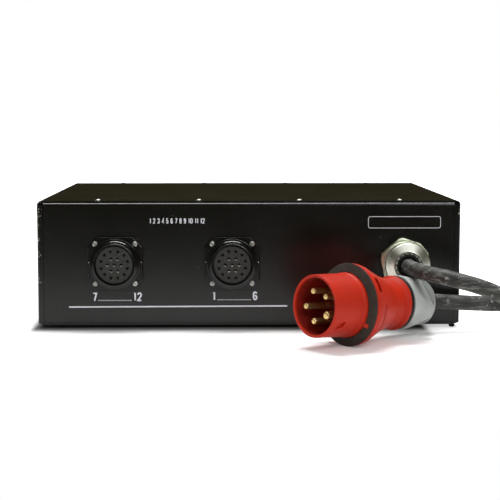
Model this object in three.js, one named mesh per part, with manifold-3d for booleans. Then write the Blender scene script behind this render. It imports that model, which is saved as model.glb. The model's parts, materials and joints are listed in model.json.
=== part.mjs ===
// Twelve-channel dimmer pack: a folded steel case with two 19-way load sockets and a mains
// gland in front, twelve breakers, a control field and a fan behind, and a mains cord that
// ends in a five-pin plug. Millimetres: +X to the right of the socket panel, +Y from the
// socket panel to the control panel, +Z up. Y is 0 on the socket panel's face until the last
// lines, which centre the pack on its own footprint.

import * as THREE from 'three';
import { mergeVertices } from 'three/addons/utils/BufferGeometryUtils.js';
import Module from 'manifold-3d';

const wasm = await Module();
wasm.setup();

// Clearances
const seatGap = 0.3;
const slideGap = 0.4;
const overrun = 2;

// Sides of the round pieces, from the largest to the smallest
const holeSides = 28;
const roundSides = 24;
const barSides = 20;
const pinSides = 12;
const bossSides = 8;
const contactSides = 6;
const nutSides = 6;
const wireSides = 4;
const bendSteps = 2;

// Case
const caseWidth = 442;
const caseDepth = 360;
const caseHeight = 130;
const sheet = 1.5;
const trayBend = 3;
const coverBend = 4;
const coverSetback = 3.2;
const lipSetback = 1;
const lipWidth = 6.3;
const lipGap = 0.5;
const lipTopDrop = 7;
const coverLift = 3;
const returnDepth = 14;
const sideFlange = 14;
const sideFlangeInset = 6;
const footHeight = 3.5;
const footRadius = 3.2;
const footInset = 7;
const footSideInset = 7;
const ventCount = 9;
const ventWidth = 3;
const ventHeight = 44;
const ventPitch = 10;
const ventFrontInset = 210;

const caseBottom = footHeight;
const caseTop = caseBottom + caseHeight;
const middle = caseBottom + caseHeight / 2;
const halfWidth = caseWidth / 2;
const panelHalf = halfWidth - lipWidth - lipGap;
const trayTop = caseTop - sheet - seatGap;
const floorTop = caseBottom + sheet;
const onFloor = floorTop + seatGap;
const panelBack = caseDepth - sheet;

// Load sockets
const socketPitch = 121.8;
const socketInset = 81.4;
const flangeWidth = 58;
const flangeHeight = 56;
const flangeCorner = 10.5;
const flangeThickness = 3;
const collarRadius = 26;
const collarLength = 5;
const threadRadius = 24.2;
const threadLength = 4.5;
const lipRadius = 22.3;
const shellReach = 17;
const shellBore = 19.9;
const barrelRadius = 21.6;
const barrelLength = 18;
const insertRecess = 2.4;
const insertRear = 14;
const contactRadius = 1.5;
const contactDepth = 4;
const innerContactRing = 7.1;
const outerContactRing = 14.1;
const innerContacts = 6;
const outerContacts = 12;

// Mains gland
const glandInset = 58;
const glandFlats = 49;
const glandTurn = THREE.MathUtils.degToRad(11);
const glandHexLength = 9;
const glandX = halfWidth - glandInset;
const stemRadius = 20;
const stemRear = 15;
const frontStemRadius = 17;
const frontStemReach = 16;
const glandBore = 12;
const domeReach = 30;
const domeRadius = 22.4;
const domeShoulder = 12;
const domeLip = 1.6;
const mouthRadius = 13.6;
const locknutLength = 6;
const sealInset = 1.5;

// Mains cord
const cordDiameter = 15.5;
const cordGap = 0.6;
const cordSides = 10;
const floorGap = 0.15;
const cordStepDiameters = 1.4;

// Five-pin plug, measured back along its axis from the rim
const rimX = 58.9;
const rimY = -138.8;
const rimZ = 43.2;
const plugYaw = THREE.MathUtils.degToRad(50.5);
const plugTilt = THREE.MathUtils.degToRad(3.54);
const shroudRadius = 30.1;
const shroudWall = 2.8;
const shroudStep = 33.5;
const shroudDraft = 0.5;
const rootRadius = 31.4;
const stepChamfer = 0.8;
const cavityDepth = 42;
const gasketFront = 40.8;
const gasketThickness = 3.5;
const gasketRadius = 40.4;
const gasketDish = 3.2;
const gasketRim = 1.2;
const shroudLength = 60;
const pinInset = 2.5;
const pinRadius = 3;
const earthPinRadius = 4;
const pinRing = 15.1;
const pinSeatDepth = 4.5;
const plugRoll = THREE.MathUtils.degToRad(6);
const keyWidth = 4.4;
const keyReach = 5.1;
const keyLength = 3.8;
const coneLength = 34;
const coneShares = [[0, 0.98], [0.17, 0.8], [0.41, 0.55], [0.65, 0.3], [0.82, 0.15], [1, 0.03]];
const flangeRadius = 39.9;
const flangeEdge = 0.8;
const plugFlangeThickness = 7;
const housingRadius = 26.6;
const waistRadius = 25.9;
const collarRise = 1.2;
const collarWidth = 10.5;
const housingEnd = 108;
const housingCavityRadius = 22;
const housingWall = 3;
const plugSealRadius = 26.3;
const plugSealLength = 3.9;
const nutRadius = 27.4;
const nutRearRadius = 23.6;
const nutEdge = 1.2;
const nutShares = [[0, 0.9], [0.05, 1], [0.38, 0.65], [0.68, 0.28], [0.95, 0]];
const plugLength = 146.5;
const cordBoreGap = 0.45;

// Breakers
const channelCount = 12;
const breakerPitch = 17.7;
const breakerInset = 18;
const breakerBodyHeight = 84;
const breakerBodyDepth = 44;
const noseHeight = 45;
const noseDepth = 68;
const noseReach = 2.5;
const breakerChamfer = 2;
const leverWidth = 8;
const leverSlotHeight = 22;
const leverSlotDepth = 12.5;
const leverHub = 7;
const leverPivotDepth = 5;
const leverReach = 17;
const leverThickness = 5;
const leverTipThickness = 3.4;
const leverAngle = THREE.MathUtils.degToRad(42);
const grooveWidth = 0.8;
const grooveDepth = 1;
const railHeight = 35;
const railHatHeight = 27;
const railDepth = 7.5;
const railSheet = 1;
const railOverhang = 3;
const railLegWidth = 12;
const railLegInset = 16;
const railLegFoot = 20;

// Control field
const boardWidth = 90;
const boardHeight = 46;
const boardGap = 4;
const boardMargin = 16;
const breakerGap = 10.6;
const boardSheet = 1.6;
const boardStandoff = 9.6;
const postRadius = 2.5;
const postInset = 4;
const displayWidth = 46;
const displayHeight = 17;
const displayReach = 0.6;
const displayDrop = 27.5;
const buttonCount = 4;
const buttonPitch = 16;
const buttonRadius = 3.5;
const buttonCollar = 4.6;
const buttonCollarLength = 2;
const buttonReach = 2.5;
const buttonTravel = 1.5;
const buttonDrop = 20;
const dataPitch = 44;
const dataDrop = 40;
const dataWidth = 26;
const dataHeight = 31;
const dataCorner = 3;
const dataFlange = 2.5;
const dataBarrel = 11.8;
const dataDepth = 20;
const dataRecess = 9.2;
const dataRecessDepth = 14.8;
const dataSocketRing = 4.2;
const dataSocketRadius = 1.5;
const dataSocketDepth = 8;
const latchWidth = 7;
const latchHeight = 3.6;
const latchReach = 2;
const latchTravel = 1.5;
const latchInset = 2;

// Fan
const fanInset = 61;
const fanSize = 92;
const fanDepth = 25.4;
const fanCorner = 4;
const fanBore = 44;
const hubRadius = 18;
const motorDepth = 3.5;
const strutWidth = 5;
const shaftRadius = 2;
const rotorDepth = 19;
const shaftShare = 0.7;
const rotorBoreShare = 0.76;
const bladeRootShare = 0.9;
const bladeCount = 7;
const bladeTip = 42.5;
const bladeSheet = 2;
const bladeChord = 19;
const bladeAngle = THREE.MathUtils.degToRad(38);
const wireRadius = 0.9;
const guardRings = 4;
const guardSpacing = 10;
const guardSpokes = 4;
const guardEar = 54;

// Power parts
const sinkInset = 48;
const sinkWidth = 94;
const sinkBase = 6;
const sinkLength = 130;
const sinkFanGap = 12.8;
const sinkTopGap = 8.7;
const finCount = 10;
const finThickness = 2.6;
const moduleLift = 12;
const moduleDrop = 10;
const moduleBoard = 1.6;
const moduleBlock = 9;
const moduleBlockWidth = 14;
const modulePitch = 20;
const moduleGap = 8;
const moduleRows = 3;
const moduleColumns = 2;
const chokeRadius = 19;
const chokeCore = 10;
const chokeHeight = 18;
const chokePitch = 42;
const chokeRows = 2;
const chokeColumns = 3;
const chokeInset = 16;
const chokeGap = 4;
const chokeFront = 60;
const chokeBoard = 1.6;
const blockWidth = 62;
const blockDepth = 30;
const blockHeight = 34;
const blockFront = 62;
const blockWays = 5;
const blockWayWidth = 9;
const blockWayDepth = 8;

const paint = new THREE.MeshStandardMaterial({ color: 0x1d1d1a, roughness: 0.38 });
const rubber = new THREE.MeshStandardMaterial({ color: 0x222220, roughness: 0.85 });
const shellBlack = new THREE.MeshStandardMaterial({ color: 0x171715, roughness: 0.3 });
const insertGrey = new THREE.MeshStandardMaterial({ color: 0x3a3a36, roughness: 0.7 });
const nickel = new THREE.MeshStandardMaterial({ color: 0xb9b59a, roughness: 0.28, metalness: 1 });
const cordGrey = new THREE.MeshStandardMaterial({ color: 0x4a4a45, roughness: 0.7 });
const plugRed = new THREE.MeshStandardMaterial({ color: 0xc02d1c, roughness: 0.4 });
const plugGrey = new THREE.MeshStandardMaterial({ color: 0xa9ada9, roughness: 0.5 });
const brass = new THREE.MeshStandardMaterial({ color: 0xcdb06a, roughness: 0.3, metalness: 1 });
const breakerWhite = new THREE.MeshStandardMaterial({ color: 0xdcdcd6, roughness: 0.45 });
const leverBlue = new THREE.MeshStandardMaterial({ color: 0x1f3f7a, roughness: 0.4 });
const zinc = new THREE.MeshStandardMaterial({ color: 0xb4b7b8, roughness: 0.4, metalness: 1 });
const aluminium = new THREE.MeshStandardMaterial({ color: 0xa9acae, roughness: 0.45, metalness: 1 });
const boardGreen = new THREE.MeshStandardMaterial({ color: 0x1f5a34, roughness: 0.5 });
const displayDark = new THREE.MeshStandardMaterial({ color: 0x2a0c0c, roughness: 0.15 });
const copper = new THREE.MeshStandardMaterial({ color: 0xa2592c, roughness: 0.35, metalness: 1 });

// A closed geometry as a solid: shared corners merged, collapsed triangles left out
function toSolid(geometry) {
  const bare = geometry.clone();
  bare.deleteAttribute('normal');
  bare.deleteAttribute('uv');
  const merged = mergeVertices(bare);
  const faces = merged.index.array;
  const kept = [];
  for (let i = 0; i < faces.length; i += 3) {
    const [a, b, c] = [faces[i], faces[i + 1], faces[i + 2]];
    if (a !== b && b !== c && a !== c) kept.push(a, b, c);
  }
  return new wasm.Manifold(new wasm.Mesh({
    numProp: 3,
    vertProperties: new Float32Array(merged.attributes.position.array),
    triVerts: new Uint32Array(kept),
  }));
}

function toGeometry(solid) {
  const mesh = solid.getMesh();
  const geometry = new THREE.BufferGeometry();
  geometry.setAttribute('position', new THREE.BufferAttribute(mesh.vertProperties, mesh.numProp));
  geometry.setIndex(new THREE.BufferAttribute(mesh.triVerts, 1));
  geometry.computeVertexNormals();
  return geometry;
}

const join = (...solids) => solids.reduce((sum, next) => sum.add(next));
const carve = (body, ...tools) => tools.reduce((left, tool) => left.subtract(tool), body);

const pack = new THREE.Group();

function piece(name, solid, material, parent = pack) {
  const mesh = new THREE.Mesh(toGeometry(solid), material);
  mesh.name = name;
  parent.add(mesh);
  return mesh;
}

function block([x0, x1], [y0, y1], [z0, z1]) {
  const box = new THREE.BoxGeometry(x1 - x0, y1 - y0, z1 - z0);
  box.translate((x0 + x1) / 2, (y0 + y1) / 2, (z0 + z1) / 2);
  return toSolid(box);
}

// A rod along Y from y0 to y1, with a corner of its polygon turned by an angle
function rodY(radius, [y0, y1], [x, z], sides, turn = 0) {
  const rod = new THREE.CylinderGeometry(radius, radius, y1 - y0, sides);
  rod.rotateY(turn);
  rod.translate(x, (y0 + y1) / 2, z);
  return toSolid(rod);
}

function rodX(radius, [x0, x1], [y, z], sides) {
  const rod = new THREE.CylinderGeometry(radius, radius, x1 - x0, sides);
  rod.rotateZ(-Math.PI / 2);
  rod.translate((x0 + x1) / 2, y, z);
  return toSolid(rod);
}

function rodZ(radius, [z0, z1], [x, y], sides) {
  const rod = new THREE.CylinderGeometry(radius, radius, z1 - z0, sides);
  rod.rotateX(Math.PI / 2);
  rod.translate(x, y, (z0 + z1) / 2);
  return toSolid(rod);
}

// A profile of [radius, y] points turned round the Y axis
function turned(profile, sides, [x, z] = [0, 0]) {
  const area = profile.reduce((sum, [r, y], i) => {
    const [nextR, nextY] = profile[(i + 1) % profile.length];
    return sum + r * nextY - nextR * y;
  }, 0);
  const points = profile.map(([r, y]) => new THREE.Vector2(r, y));
  if (area < 0) points.reverse();
  const onAxis = points[0].x === 0 && points[points.length - 1].x === 0;
  if (!onAxis) points.push(points[0].clone());
  const lathe = new THREE.LatheGeometry(points, sides);
  lathe.translate(x, 0, z);
  return toSolid(lathe);
}

function outline(points) {
  return new THREE.Shape(points.map(([x, y]) => new THREE.Vector2(x, y)));
}

function extrudeZ(shape, [z0, z1]) {
  const slab = new THREE.ExtrudeGeometry(shape, {
    depth: z1 - z0, bevelEnabled: false, curveSegments: bendSteps,
  });
  slab.translate(0, 0, z0);
  return slab;
}

// A shape drawn in (x, z), made solid from y0 to y1
function extrudeY(shape, [y0, y1]) {
  const slab = extrudeZ(shape, [0, y1 - y0]);
  slab.rotateX(Math.PI / 2);
  slab.translate(0, y1, 0);
  return toSolid(slab);
}

// A shape drawn in (y, z), made solid from x0 to x1
function extrudeX(shape, [x0, x1]) {
  const slab = extrudeZ(shape, [0, x1 - x0]);
  const turn = new THREE.Matrix4().makeBasis(
    new THREE.Vector3(0, 1, 0), new THREE.Vector3(0, 0, 1), new THREE.Vector3(1, 0, 0),
  );
  slab.applyMatrix4(turn);
  slab.translate(x0, 0, 0);
  return toSolid(slab);
}

// The outline of a sheet whose outer face follows the corners and folds left at each of them
function folded(corners, thickness, radius) {
  const points = corners.map(([x, y]) => new THREE.Vector2(x, y));
  const last = points.length - 1;
  const heading = (i) => points[i + 1].clone().sub(points[i]).normalize();
  const left = (direction) => new THREE.Vector2(-direction.y, direction.x);
  const bends = points.slice(1, last).map((corner, i) => {
    const along = heading(i);
    const inward = left(along);
    const centre = corner.clone().addScaledVector(along, -radius).addScaledVector(inward, radius);
    const start = Math.atan2(-inward.y, -inward.x);
    return { centre, start, end: start + Math.PI / 2 };
  });
  const shape = new THREE.Shape();
  shape.moveTo(points[0].x, points[0].y);
  const arc = ({ centre, start, end }, r, clockwise) => {
    const from = clockwise ? end : start;
    const to = clockwise ? start : end;
    shape.lineTo(centre.x + r * Math.cos(from), centre.y + r * Math.sin(from));
    shape.absarc(centre.x, centre.y, r, from, to, clockwise);
  };
  bends.forEach((bend) => arc(bend, radius, false));
  shape.lineTo(points[last].x, points[last].y);
  const lastInner = points[last].clone().addScaledVector(left(heading(last - 1)), thickness);
  shape.lineTo(lastInner.x, lastInner.y);
  [...bends].reverse().forEach((bend) => arc(bend, radius - thickness, true));
  const firstInner = points[0].clone().addScaledVector(left(heading(0)), thickness);
  shape.lineTo(firstInner.x, firstInner.y);
  shape.closePath();
  return shape;
}

// An upright rectangle in (x, z) with its corners cut off
function cutRectangle([x, z], width, height, corner) {
  const right = width / 2;
  const top = height / 2;
  return outline([
    [x - right + corner, z - top], [x + right - corner, z - top],
    [x + right, z - top + corner], [x + right, z + top - corner],
    [x + right - corner, z + top], [x - right + corner, z + top],
    [x - right, z + top - corner], [x - right, z - top + corner],
  ]);
}

const socketLeft = socketInset - halfWidth;
const sockets = [
  { name: 'a', x: socketLeft },
  { name: 'b', x: socketLeft + socketPitch },
];

// The control panel from right to left: the fan, the control field, and the breakers, of which
// there is one for each channel, in two banks, where the case is wide enough
const fanX = halfWidth - fanInset;
const boardRight = fanX - fanSize / 2 - boardGap;
const boardLeft = boardRight - boardWidth;
const boardTop = caseTop - displayDrop + boardMargin;
const boardBottom = boardTop - boardHeight;
const displayMiddle = caseTop - displayDrop;
const buttonMiddle = displayMiddle - buttonDrop;
const dataMiddle = buttonMiddle - dataDrop;
const breakerLeft = breakerInset - halfWidth;
const breakerRoom = boardLeft - breakerGap - breakerLeft;
const bankSize = Math.min(channelCount / 2, Math.floor(breakerRoom / (2 * breakerPitch)));
const breakerCount = 2 * bankSize;
const breakerRight = breakerLeft + breakerCount * breakerPitch;
const controlMiddle = boardLeft + boardWidth / 2;
const buttonXs = Array.from({ length: buttonCount },
  (_, i) => controlMiddle + (i - (buttonCount - 1) / 2) * buttonPitch);
const dataXs = [controlMiddle + dataPitch / 2, controlMiddle - dataPitch / 2];
const panelCut = [panelBack - overrun, caseDepth + overrun];
const frontCut = [-overrun, sheet + overrun];
const breakerWindow = noseHeight + 2 * slideGap;

function makeTray() {
  const strip = folded([
    [returnDepth, trayTop], [0, trayTop], [0, caseBottom],
    [caseDepth, caseBottom], [caseDepth, trayTop], [caseDepth - returnDepth, trayTop],
  ], sheet, trayBend);
  const flangeOuter = halfWidth - sheet - seatGap;
  const along = [sideFlangeInset, caseDepth - sideFlangeInset];
  const sides = [-1, 1].flatMap((side) => {
    const span = (inner, outer) => [side * inner, side * outer].sort((a, b) => a - b);
    return [
      block(span(panelHalf - sheet, flangeOuter), along, [caseBottom, floorTop]),
      block(span(flangeOuter - sheet, flangeOuter), along, [caseBottom, caseBottom + sideFlange]),
    ];
  });
  const socketHoles = sockets.map(({ x }) => rodY(barrelRadius + slideGap, frontCut, [x, middle], holeSides));
  const display = block(
    [controlMiddle - displayWidth / 2 - slideGap, controlMiddle + displayWidth / 2 + slideGap],
    panelCut,
    [displayMiddle - displayHeight / 2 - slideGap, displayMiddle + displayHeight / 2 + slideGap],
  );
  return carve(
    join(extrudeX(strip, [-panelHalf, panelHalf]), ...sides),
    ...socketHoles,
    rodY(stemRadius + slideGap, frontCut, [glandX, middle], holeSides),
    block([breakerLeft - slideGap, breakerRight + slideGap], panelCut,
      [middle - breakerWindow / 2, middle + breakerWindow / 2]),
    display,
    ...buttonXs.map((x) => rodY(buttonRadius + slideGap, panelCut, [x, buttonMiddle], pinSides)),
    ...dataXs.map((x) => rodY(dataBarrel + slideGap, panelCut, [x, dataMiddle], barSides)),
    rodY(fanBore, panelCut, [fanX, middle], holeSides),
  );
}

function makeCover() {
  const legBottom = caseTop - sideFlange;
  const top = folded([
    [halfWidth, legBottom], [halfWidth, caseTop], [-halfWidth, caseTop], [-halfWidth, legBottom],
  ], sheet, coverBend);
  const sideWall = folded([
    [halfWidth - lipWidth, lipSetback], [halfWidth, lipSetback],
    [halfWidth, caseDepth - lipSetback], [halfWidth - lipWidth, caseDepth - lipSetback],
  ], sheet, trayBend);
  const heights = [caseBottom + coverLift, caseTop - lipTopDrop];
  const right = extrudeZ(sideWall, heights);
  const left = right.clone().rotateZ(Math.PI).translate(0, caseDepth, 0);
  const vents = Array.from({ length: ventCount }, (_, i) => {
    const front = ventFrontInset + i * ventPitch;
    return block([-halfWidth - overrun, halfWidth + overrun], [front, front + ventWidth],
      [middle - ventHeight / 2, middle + ventHeight / 2]);
  });
  return carve(
    join(extrudeY(top, [coverSetback, caseDepth - coverSetback]), toSolid(right), toSolid(left)),
    ...vents,
  );
}

function makeFeet() {
  const rows = [['front', footInset], ['rear', caseDepth - footInset]];
  const columns = [['left', -1], ['right', 1]];
  rows.forEach(([row, y]) => columns.forEach(([column, side]) => {
    const x = side * (halfWidth - footSideInset);
    piece(`foot_${row}_${column}`, rodZ(footRadius, [0, caseBottom - seatGap], [x, y], pinSides), rubber);
  }));
}

// A load socket: flange and threaded shell, with the bore that holds the contact insert
function makeSocketShell(x) {
  const back = -seatGap;
  const flangeFace = back - flangeThickness;
  const collarFace = flangeFace - collarLength;
  const threadFace = collarFace - threadLength;
  const edge = flangeThickness / 3;
  const barrel = turned([
    [shellBore, barrelLength], [barrelRadius, barrelLength], [barrelRadius, back],
    [collarRadius, flangeFace], [collarRadius, collarFace + edge], [collarRadius - edge, collarFace],
    [threadRadius, collarFace], [threadRadius, threadFace], [lipRadius, threadFace],
    [lipRadius, edge - shellReach], [lipRadius - edge / 2, -shellReach],
    [shellBore, -shellReach],
  ], roundSides, [x, middle]);
  const plate = extrudeY(cutRectangle([x, middle], flangeWidth, flangeHeight, flangeCorner),
    [flangeFace, back]);
  return join(carve(plate, rodY((shellBore + barrelRadius) / 2,
    frontCut.map((y) => y - seatGap - flangeThickness), [x, middle], roundSides)), barrel);
}

function makeSocketInsert(x) {
  const face = insertRecess - shellReach;
  const disc = rodY(shellBore - seatGap, [face, insertRear], [x, middle], roundSides);
  const ring = (count, radius, start) => Array.from({ length: count }, (_, i) => {
    const angle = start + (i * 2 * Math.PI) / count;
    return [x + radius * Math.cos(angle), middle + radius * Math.sin(angle)];
  });
  const places = [
    [x, middle],
    ...ring(innerContacts, innerContactRing, 0),
    ...ring(outerContacts, outerContactRing, Math.PI / outerContacts),
  ];
  return carve(disc, ...places.map((place) => rodY(contactRadius,
    [face - overrun, face + contactDepth], place, contactSides)));
}

const hexRadius = glandFlats / Math.sqrt(3);

function makeGlandBody() {
  const hex = rodY(hexRadius, [-glandHexLength, -seatGap], [glandX, middle], nutSides, glandTurn);
  const stem = rodY(stemRadius, [-glandHexLength / 2, stemRear], [glandX, middle], roundSides);
  const front = rodY(frontStemRadius, [-frontStemReach, -glandHexLength / 2], [glandX, middle], roundSides);
  const bore = rodY(glandBore, [-frontStemReach - overrun, stemRear + overrun], [glandX, middle], barSides);
  return carve(join(hex, stem, front), bore);
}

function makeGlandDome() {
  const rear = -glandHexLength - seatGap;
  return turned([
    [frontStemRadius + seatGap, rear], [domeRadius, rear],
    [domeRadius, domeShoulder - domeReach], [mouthRadius + domeLip, -domeReach],
    [mouthRadius, -domeReach], [mouthRadius, -frontStemReach - seatGap],
    [frontStemRadius + seatGap, -frontStemReach - seatGap],
  ], roundSides, [glandX, middle]);
}

function makeGlandSeal() {
  const outer = mouthRadius - seatGap;
  const inner = cordDiameter / 2 + seatGap;
  const ends = [sealInset - domeReach, -frontStemReach - 2 * seatGap];
  return carve(rodY(outer, ends, [glandX, middle], roundSides),
    rodY(inner, [ends[0] - overrun, ends[1] + overrun], [glandX, middle], barSides));
}

function makeLocknut() {
  const front = sheet + seatGap;
  const nut = rodY(hexRadius, [front, front + locknutLength], [glandX, middle], nutSides, glandTurn);
  return carve(nut, rodY(stemRadius + seatGap, [front - overrun, front + locknutLength + overrun],
    [glandX, middle], roundSides));
}

// The plug stands in its own group: +Y runs from its rim to its cord, +Z is up
const plug = new THREE.Group();
plug.rotation.order = 'ZXY';
plug.rotation.set(-plugTilt, 0, -plugYaw);
plug.position.set(rimX, rimY, rimZ);
plug.updateMatrix();
pack.add(plug);

const pinAngles = [
  ['plug_pin_l1', plugRoll + Math.PI, pinRadius],
  ['plug_pin_l2', plugRoll + (3 * Math.PI) / 5, pinRadius],
  ['plug_pin_l3', plugRoll + Math.PI / 5, pinRadius],
  ['plug_pin_earth', plugRoll - Math.PI / 5, earthPinRadius],
  ['plug_pin_neutral', plugRoll - (3 * Math.PI) / 5, pinRadius],
];
const pinPlace = (angle) => [pinRing * Math.cos(angle), pinRing * Math.sin(angle)];

function makeShroud() {
  const body = turned([
    [0, cavityDepth], [shroudRadius - shroudWall, cavityDepth],
    [shroudRadius - shroudWall, 0], [shroudRadius - stepChamfer, 0], [shroudRadius, stepChamfer],
    [shroudRadius + shroudDraft, shroudStep], [rootRadius, shroudStep + stepChamfer],
    [rootRadius, shroudLength],
    [0, shroudLength],
  ], roundSides);
  const earth = plugRoll - Math.PI / 5;
  const key = new THREE.BoxGeometry(2 * keyReach, keyLength, keyWidth);
  key.translate(rootRadius, gasketFront - seatGap - keyLength / 2, 0);
  key.rotateY(-earth);
  const seats = pinAngles.map(([, angle, radius]) => rodY(radius + seatGap,
    [cavityDepth - overrun, cavityDepth + pinSeatDepth + seatGap], pinPlace(angle), pinSides));
  return carve(join(body, toSolid(key)), ...seats);
}

function makeHousing() {
  const front = gasketFront + gasketThickness + seatGap;
  const rimFront = gasketFront + gasketDish + gasketRim + seatGap;
  const rear = front + plugFlangeThickness;
  const boreRadius = cordDiameter / 2 + cordBoreGap;
  const cone = coneShares.map(([alongShare, outShare]) => [
    housingRadius + (flangeRadius - housingRadius) * outShare, rear + coneLength * alongShare]);
  const collarOuter = waistRadius + collarRise;
  return turned([
    [rootRadius + seatGap, front], [flangeRadius - flangeEdge, rimFront],
    [flangeRadius, rimFront + flangeEdge], [flangeRadius, rear],
    ...cone,
    [waistRadius, rear + coneLength + housingWall], [waistRadius, housingEnd - collarWidth],
    [collarOuter, housingEnd - collarWidth + collarRise], [collarOuter, housingEnd - collarRise],
    [waistRadius, housingEnd],
    [boreRadius, housingEnd], [boreRadius, housingEnd - housingWall],
    [housingCavityRadius, housingEnd - housingWall],
    [housingCavityRadius, shroudLength + housingWall],
    [rootRadius + seatGap, shroudLength + seatGap],
  ], roundSides);
}

function makePlug() {
  piece('plug_shroud', makeShroud(), plugRed, plug);
  const gasketRear = gasketFront + gasketThickness;
  piece('plug_gasket', turned([
    [rootRadius + seatGap, gasketFront], [gasketRadius, gasketFront + gasketDish],
    [gasketRadius, gasketFront + gasketDish + gasketRim], [rootRadius + seatGap, gasketRear],
  ], roundSides), rubber, plug);
  piece('plug_housing', makeHousing(), plugRed, plug);
  const bore = cordDiameter / 2 + cordBoreGap;
  const sealFront = housingEnd + seatGap;
  const sealRear = sealFront + plugSealLength;
  piece('plug_seal', turned([
    [bore, sealFront], [plugSealRadius, sealFront], [plugSealRadius, sealRear], [bore, sealRear],
  ], roundSides), rubber, plug);
  const nutFront = sealRear + seatGap;
  const nutLength = plugLength - nutFront;
  piece('plug_nut', turned([
    [bore, nutFront],
    ...nutShares.map(([alongShare, outShare]) => [
      nutRearRadius + (nutRadius - nutRearRadius) * outShare, nutFront + nutLength * alongShare]),
    [nutRearRadius - nutEdge, plugLength], [bore, plugLength],
  ], roundSides), plugGrey, plug);
  pinAngles.forEach(([name, angle, radius]) => piece(name, turned([
    [0, pinInset], [radius / 2, pinInset], [radius, pinInset + radius / 2],
    [radius, cavityDepth + pinSeatDepth], [0, cavityDepth + pinSeatDepth],
  ], pinSides, pinPlace(angle)), brass, plug));
}

// The mains cord: from the gland to a flat coil on the floor, and from the coil to the plug
const coil = {
  centre: [376, -19],
  middleRadius: 82.3,
  startAngle: -Math.PI / 2,
  turns: 2 + 2 / 3,
  stepsPerTurn: 24,
  sides: 6,
};
const coilPitch = cordDiameter + cordGap;
const coilLow = cordDiameter / 2 + floorGap;
const coilInner = coil.middleRadius - (coilPitch * coil.turns) / 4;

function coilPoint(turn) {
  const fromMiddle = turn - coil.turns / 2;
  const radius = coilInner + coilPitch * Math.abs(fromMiddle);
  const climb = THREE.MathUtils.smoothstep(fromMiddle, -1 / 4, 1 / 4);
  const angle = coil.startAngle + 2 * Math.PI * turn;
  const [x, y] = coil.centre;
  return new THREE.Vector3(x + radius * Math.cos(angle), y + radius * Math.sin(angle),
    coilLow + coilPitch * climb);
}

function coilRoute() {
  const steps = Math.round(coil.turns * coil.stepsPerTurn);
  const turnsOfWire = Array.from({ length: steps + 1 }, (_, i) => coilPoint((coil.turns * i) / steps));
  const lead = (turn, inward) => {
    const end = coilPoint(turn);
    return end.clone().sub(coilPoint(turn + inward)).setZ(0).setLength(cordDiameter).add(end);
  };
  const nudgeShare = 1 / 1000;
  return [lead(0, nudgeShare), ...turnsOfWire, lead(coil.turns, -nudgeShare)];
}

// A closed tube with flat ends round a route of points, upright across its level direction
function tubeAlong(route, radius, sides) {
  const up = new THREE.Vector3(0, 0, 1);
  const positions = [];
  route.forEach((point, i) => {
    const before = route[Math.max(i - 1, 0)];
    const after = route[Math.min(i + 1, route.length - 1)];
    const along = after.clone().sub(before).normalize();
    const across = new THREE.Vector3().crossVectors(along, up).normalize();
    const over = new THREE.Vector3().crossVectors(across, along);
    for (let side = 0; side < sides; side += 1) {
      const angle = ((side + 1 / 2) * 2 * Math.PI) / sides;
      positions.push(...point.clone().addScaledVector(across, radius * Math.cos(angle))
        .addScaledVector(over, radius * Math.sin(angle)).toArray());
    }
  });
  const faces = [];
  const last = (route.length - 1) * sides;
  for (let ring = 0; ring < route.length - 1; ring += 1) {
    for (let side = 0; side < sides; side += 1) {
      const a = ring * sides + side;
      const b = ring * sides + ((side + 1) % sides);
      faces.push(a, a + sides, b, b, a + sides, b + sides);
    }
  }
  for (let side = 1; side < sides - 1; side += 1) {
    faces.push(0, side, side + 1, last, last + side + 1, last + side);
  }
  return new wasm.Manifold(new wasm.Mesh({
    numProp: 3, vertProperties: new Float32Array(positions), triVerts: new Uint32Array(faces),
  }));
}

// The least gap of a tube to itself, on points that lie over a quarter of a turn apart
function leastGap(route, diameter, apart) {
  let least = Infinity;
  for (let i = 0; i < route.length; i += 1) {
    for (let j = i + apart; j < route.length; j += 1) {
      least = Math.min(least, route[i].distanceTo(route[j]) - diameter);
    }
  }
  return least;
}

const coilPath = coilRoute();
const beyond = (end, inner, distance) => end.clone().sub(inner).setLength(distance).add(end);
const coilStart = coilPath[0];
const coilEnd = coilPath[coilPath.length - 1];

const glandToCoil = [
  [163, -20, 68.5], [163, -33, 68.5], [163, -46, 68.5], [171.6, -78, 67.6], [195, -101.4, 64.3],
  [227, -110.4, 55.6], [258, -111.8, 41.6], [288, -112, 27], [318, -112, 14.9], [341, -112, 8.9],
].map((point) => new THREE.Vector3(...point));
glandToCoil.push(
  beyond(coilStart, coilPath[1], cordDiameter / 2),
  beyond(coilStart, coilPath[1], seatGap),
);

const onPlugAxis = (distance) => new THREE.Vector3(0, distance, 0).applyMatrix4(plug.matrix);
const coilToPlug = [
  beyond(coilEnd, coilPath[coilPath.length - 2], seatGap),
  beyond(coilEnd, coilPath[coilPath.length - 2], cordDiameter / 2),
  ...[[273.8, -5.6, 25.2], [261, -15.5, 27.2], [247.1, -21.2, 28.3],
    [227.4, -23.2, 29.4], [205, -26.3, 31]].map((point) => new THREE.Vector3(...point)),
  onPlugAxis(plugLength + cordDiameter),
  onPlugAxis(plugLength),
  onPlugAxis(plugLength - cordDiameter),
];

function makeCordStretch(points) {
  const path = new THREE.CatmullRomCurve3(points);
  const section = new THREE.Shape().absarc(0, 0, cordDiameter / 2, 0, 2 * Math.PI, false);
  const tube = new THREE.ExtrudeGeometry(section, {
    steps: Math.round(path.getLength() / (cordStepDiameters * cordDiameter)),
    curveSegments: cordSides / 2,
    extrudePath: path,
  });
  return toSolid(tube);
}

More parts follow.
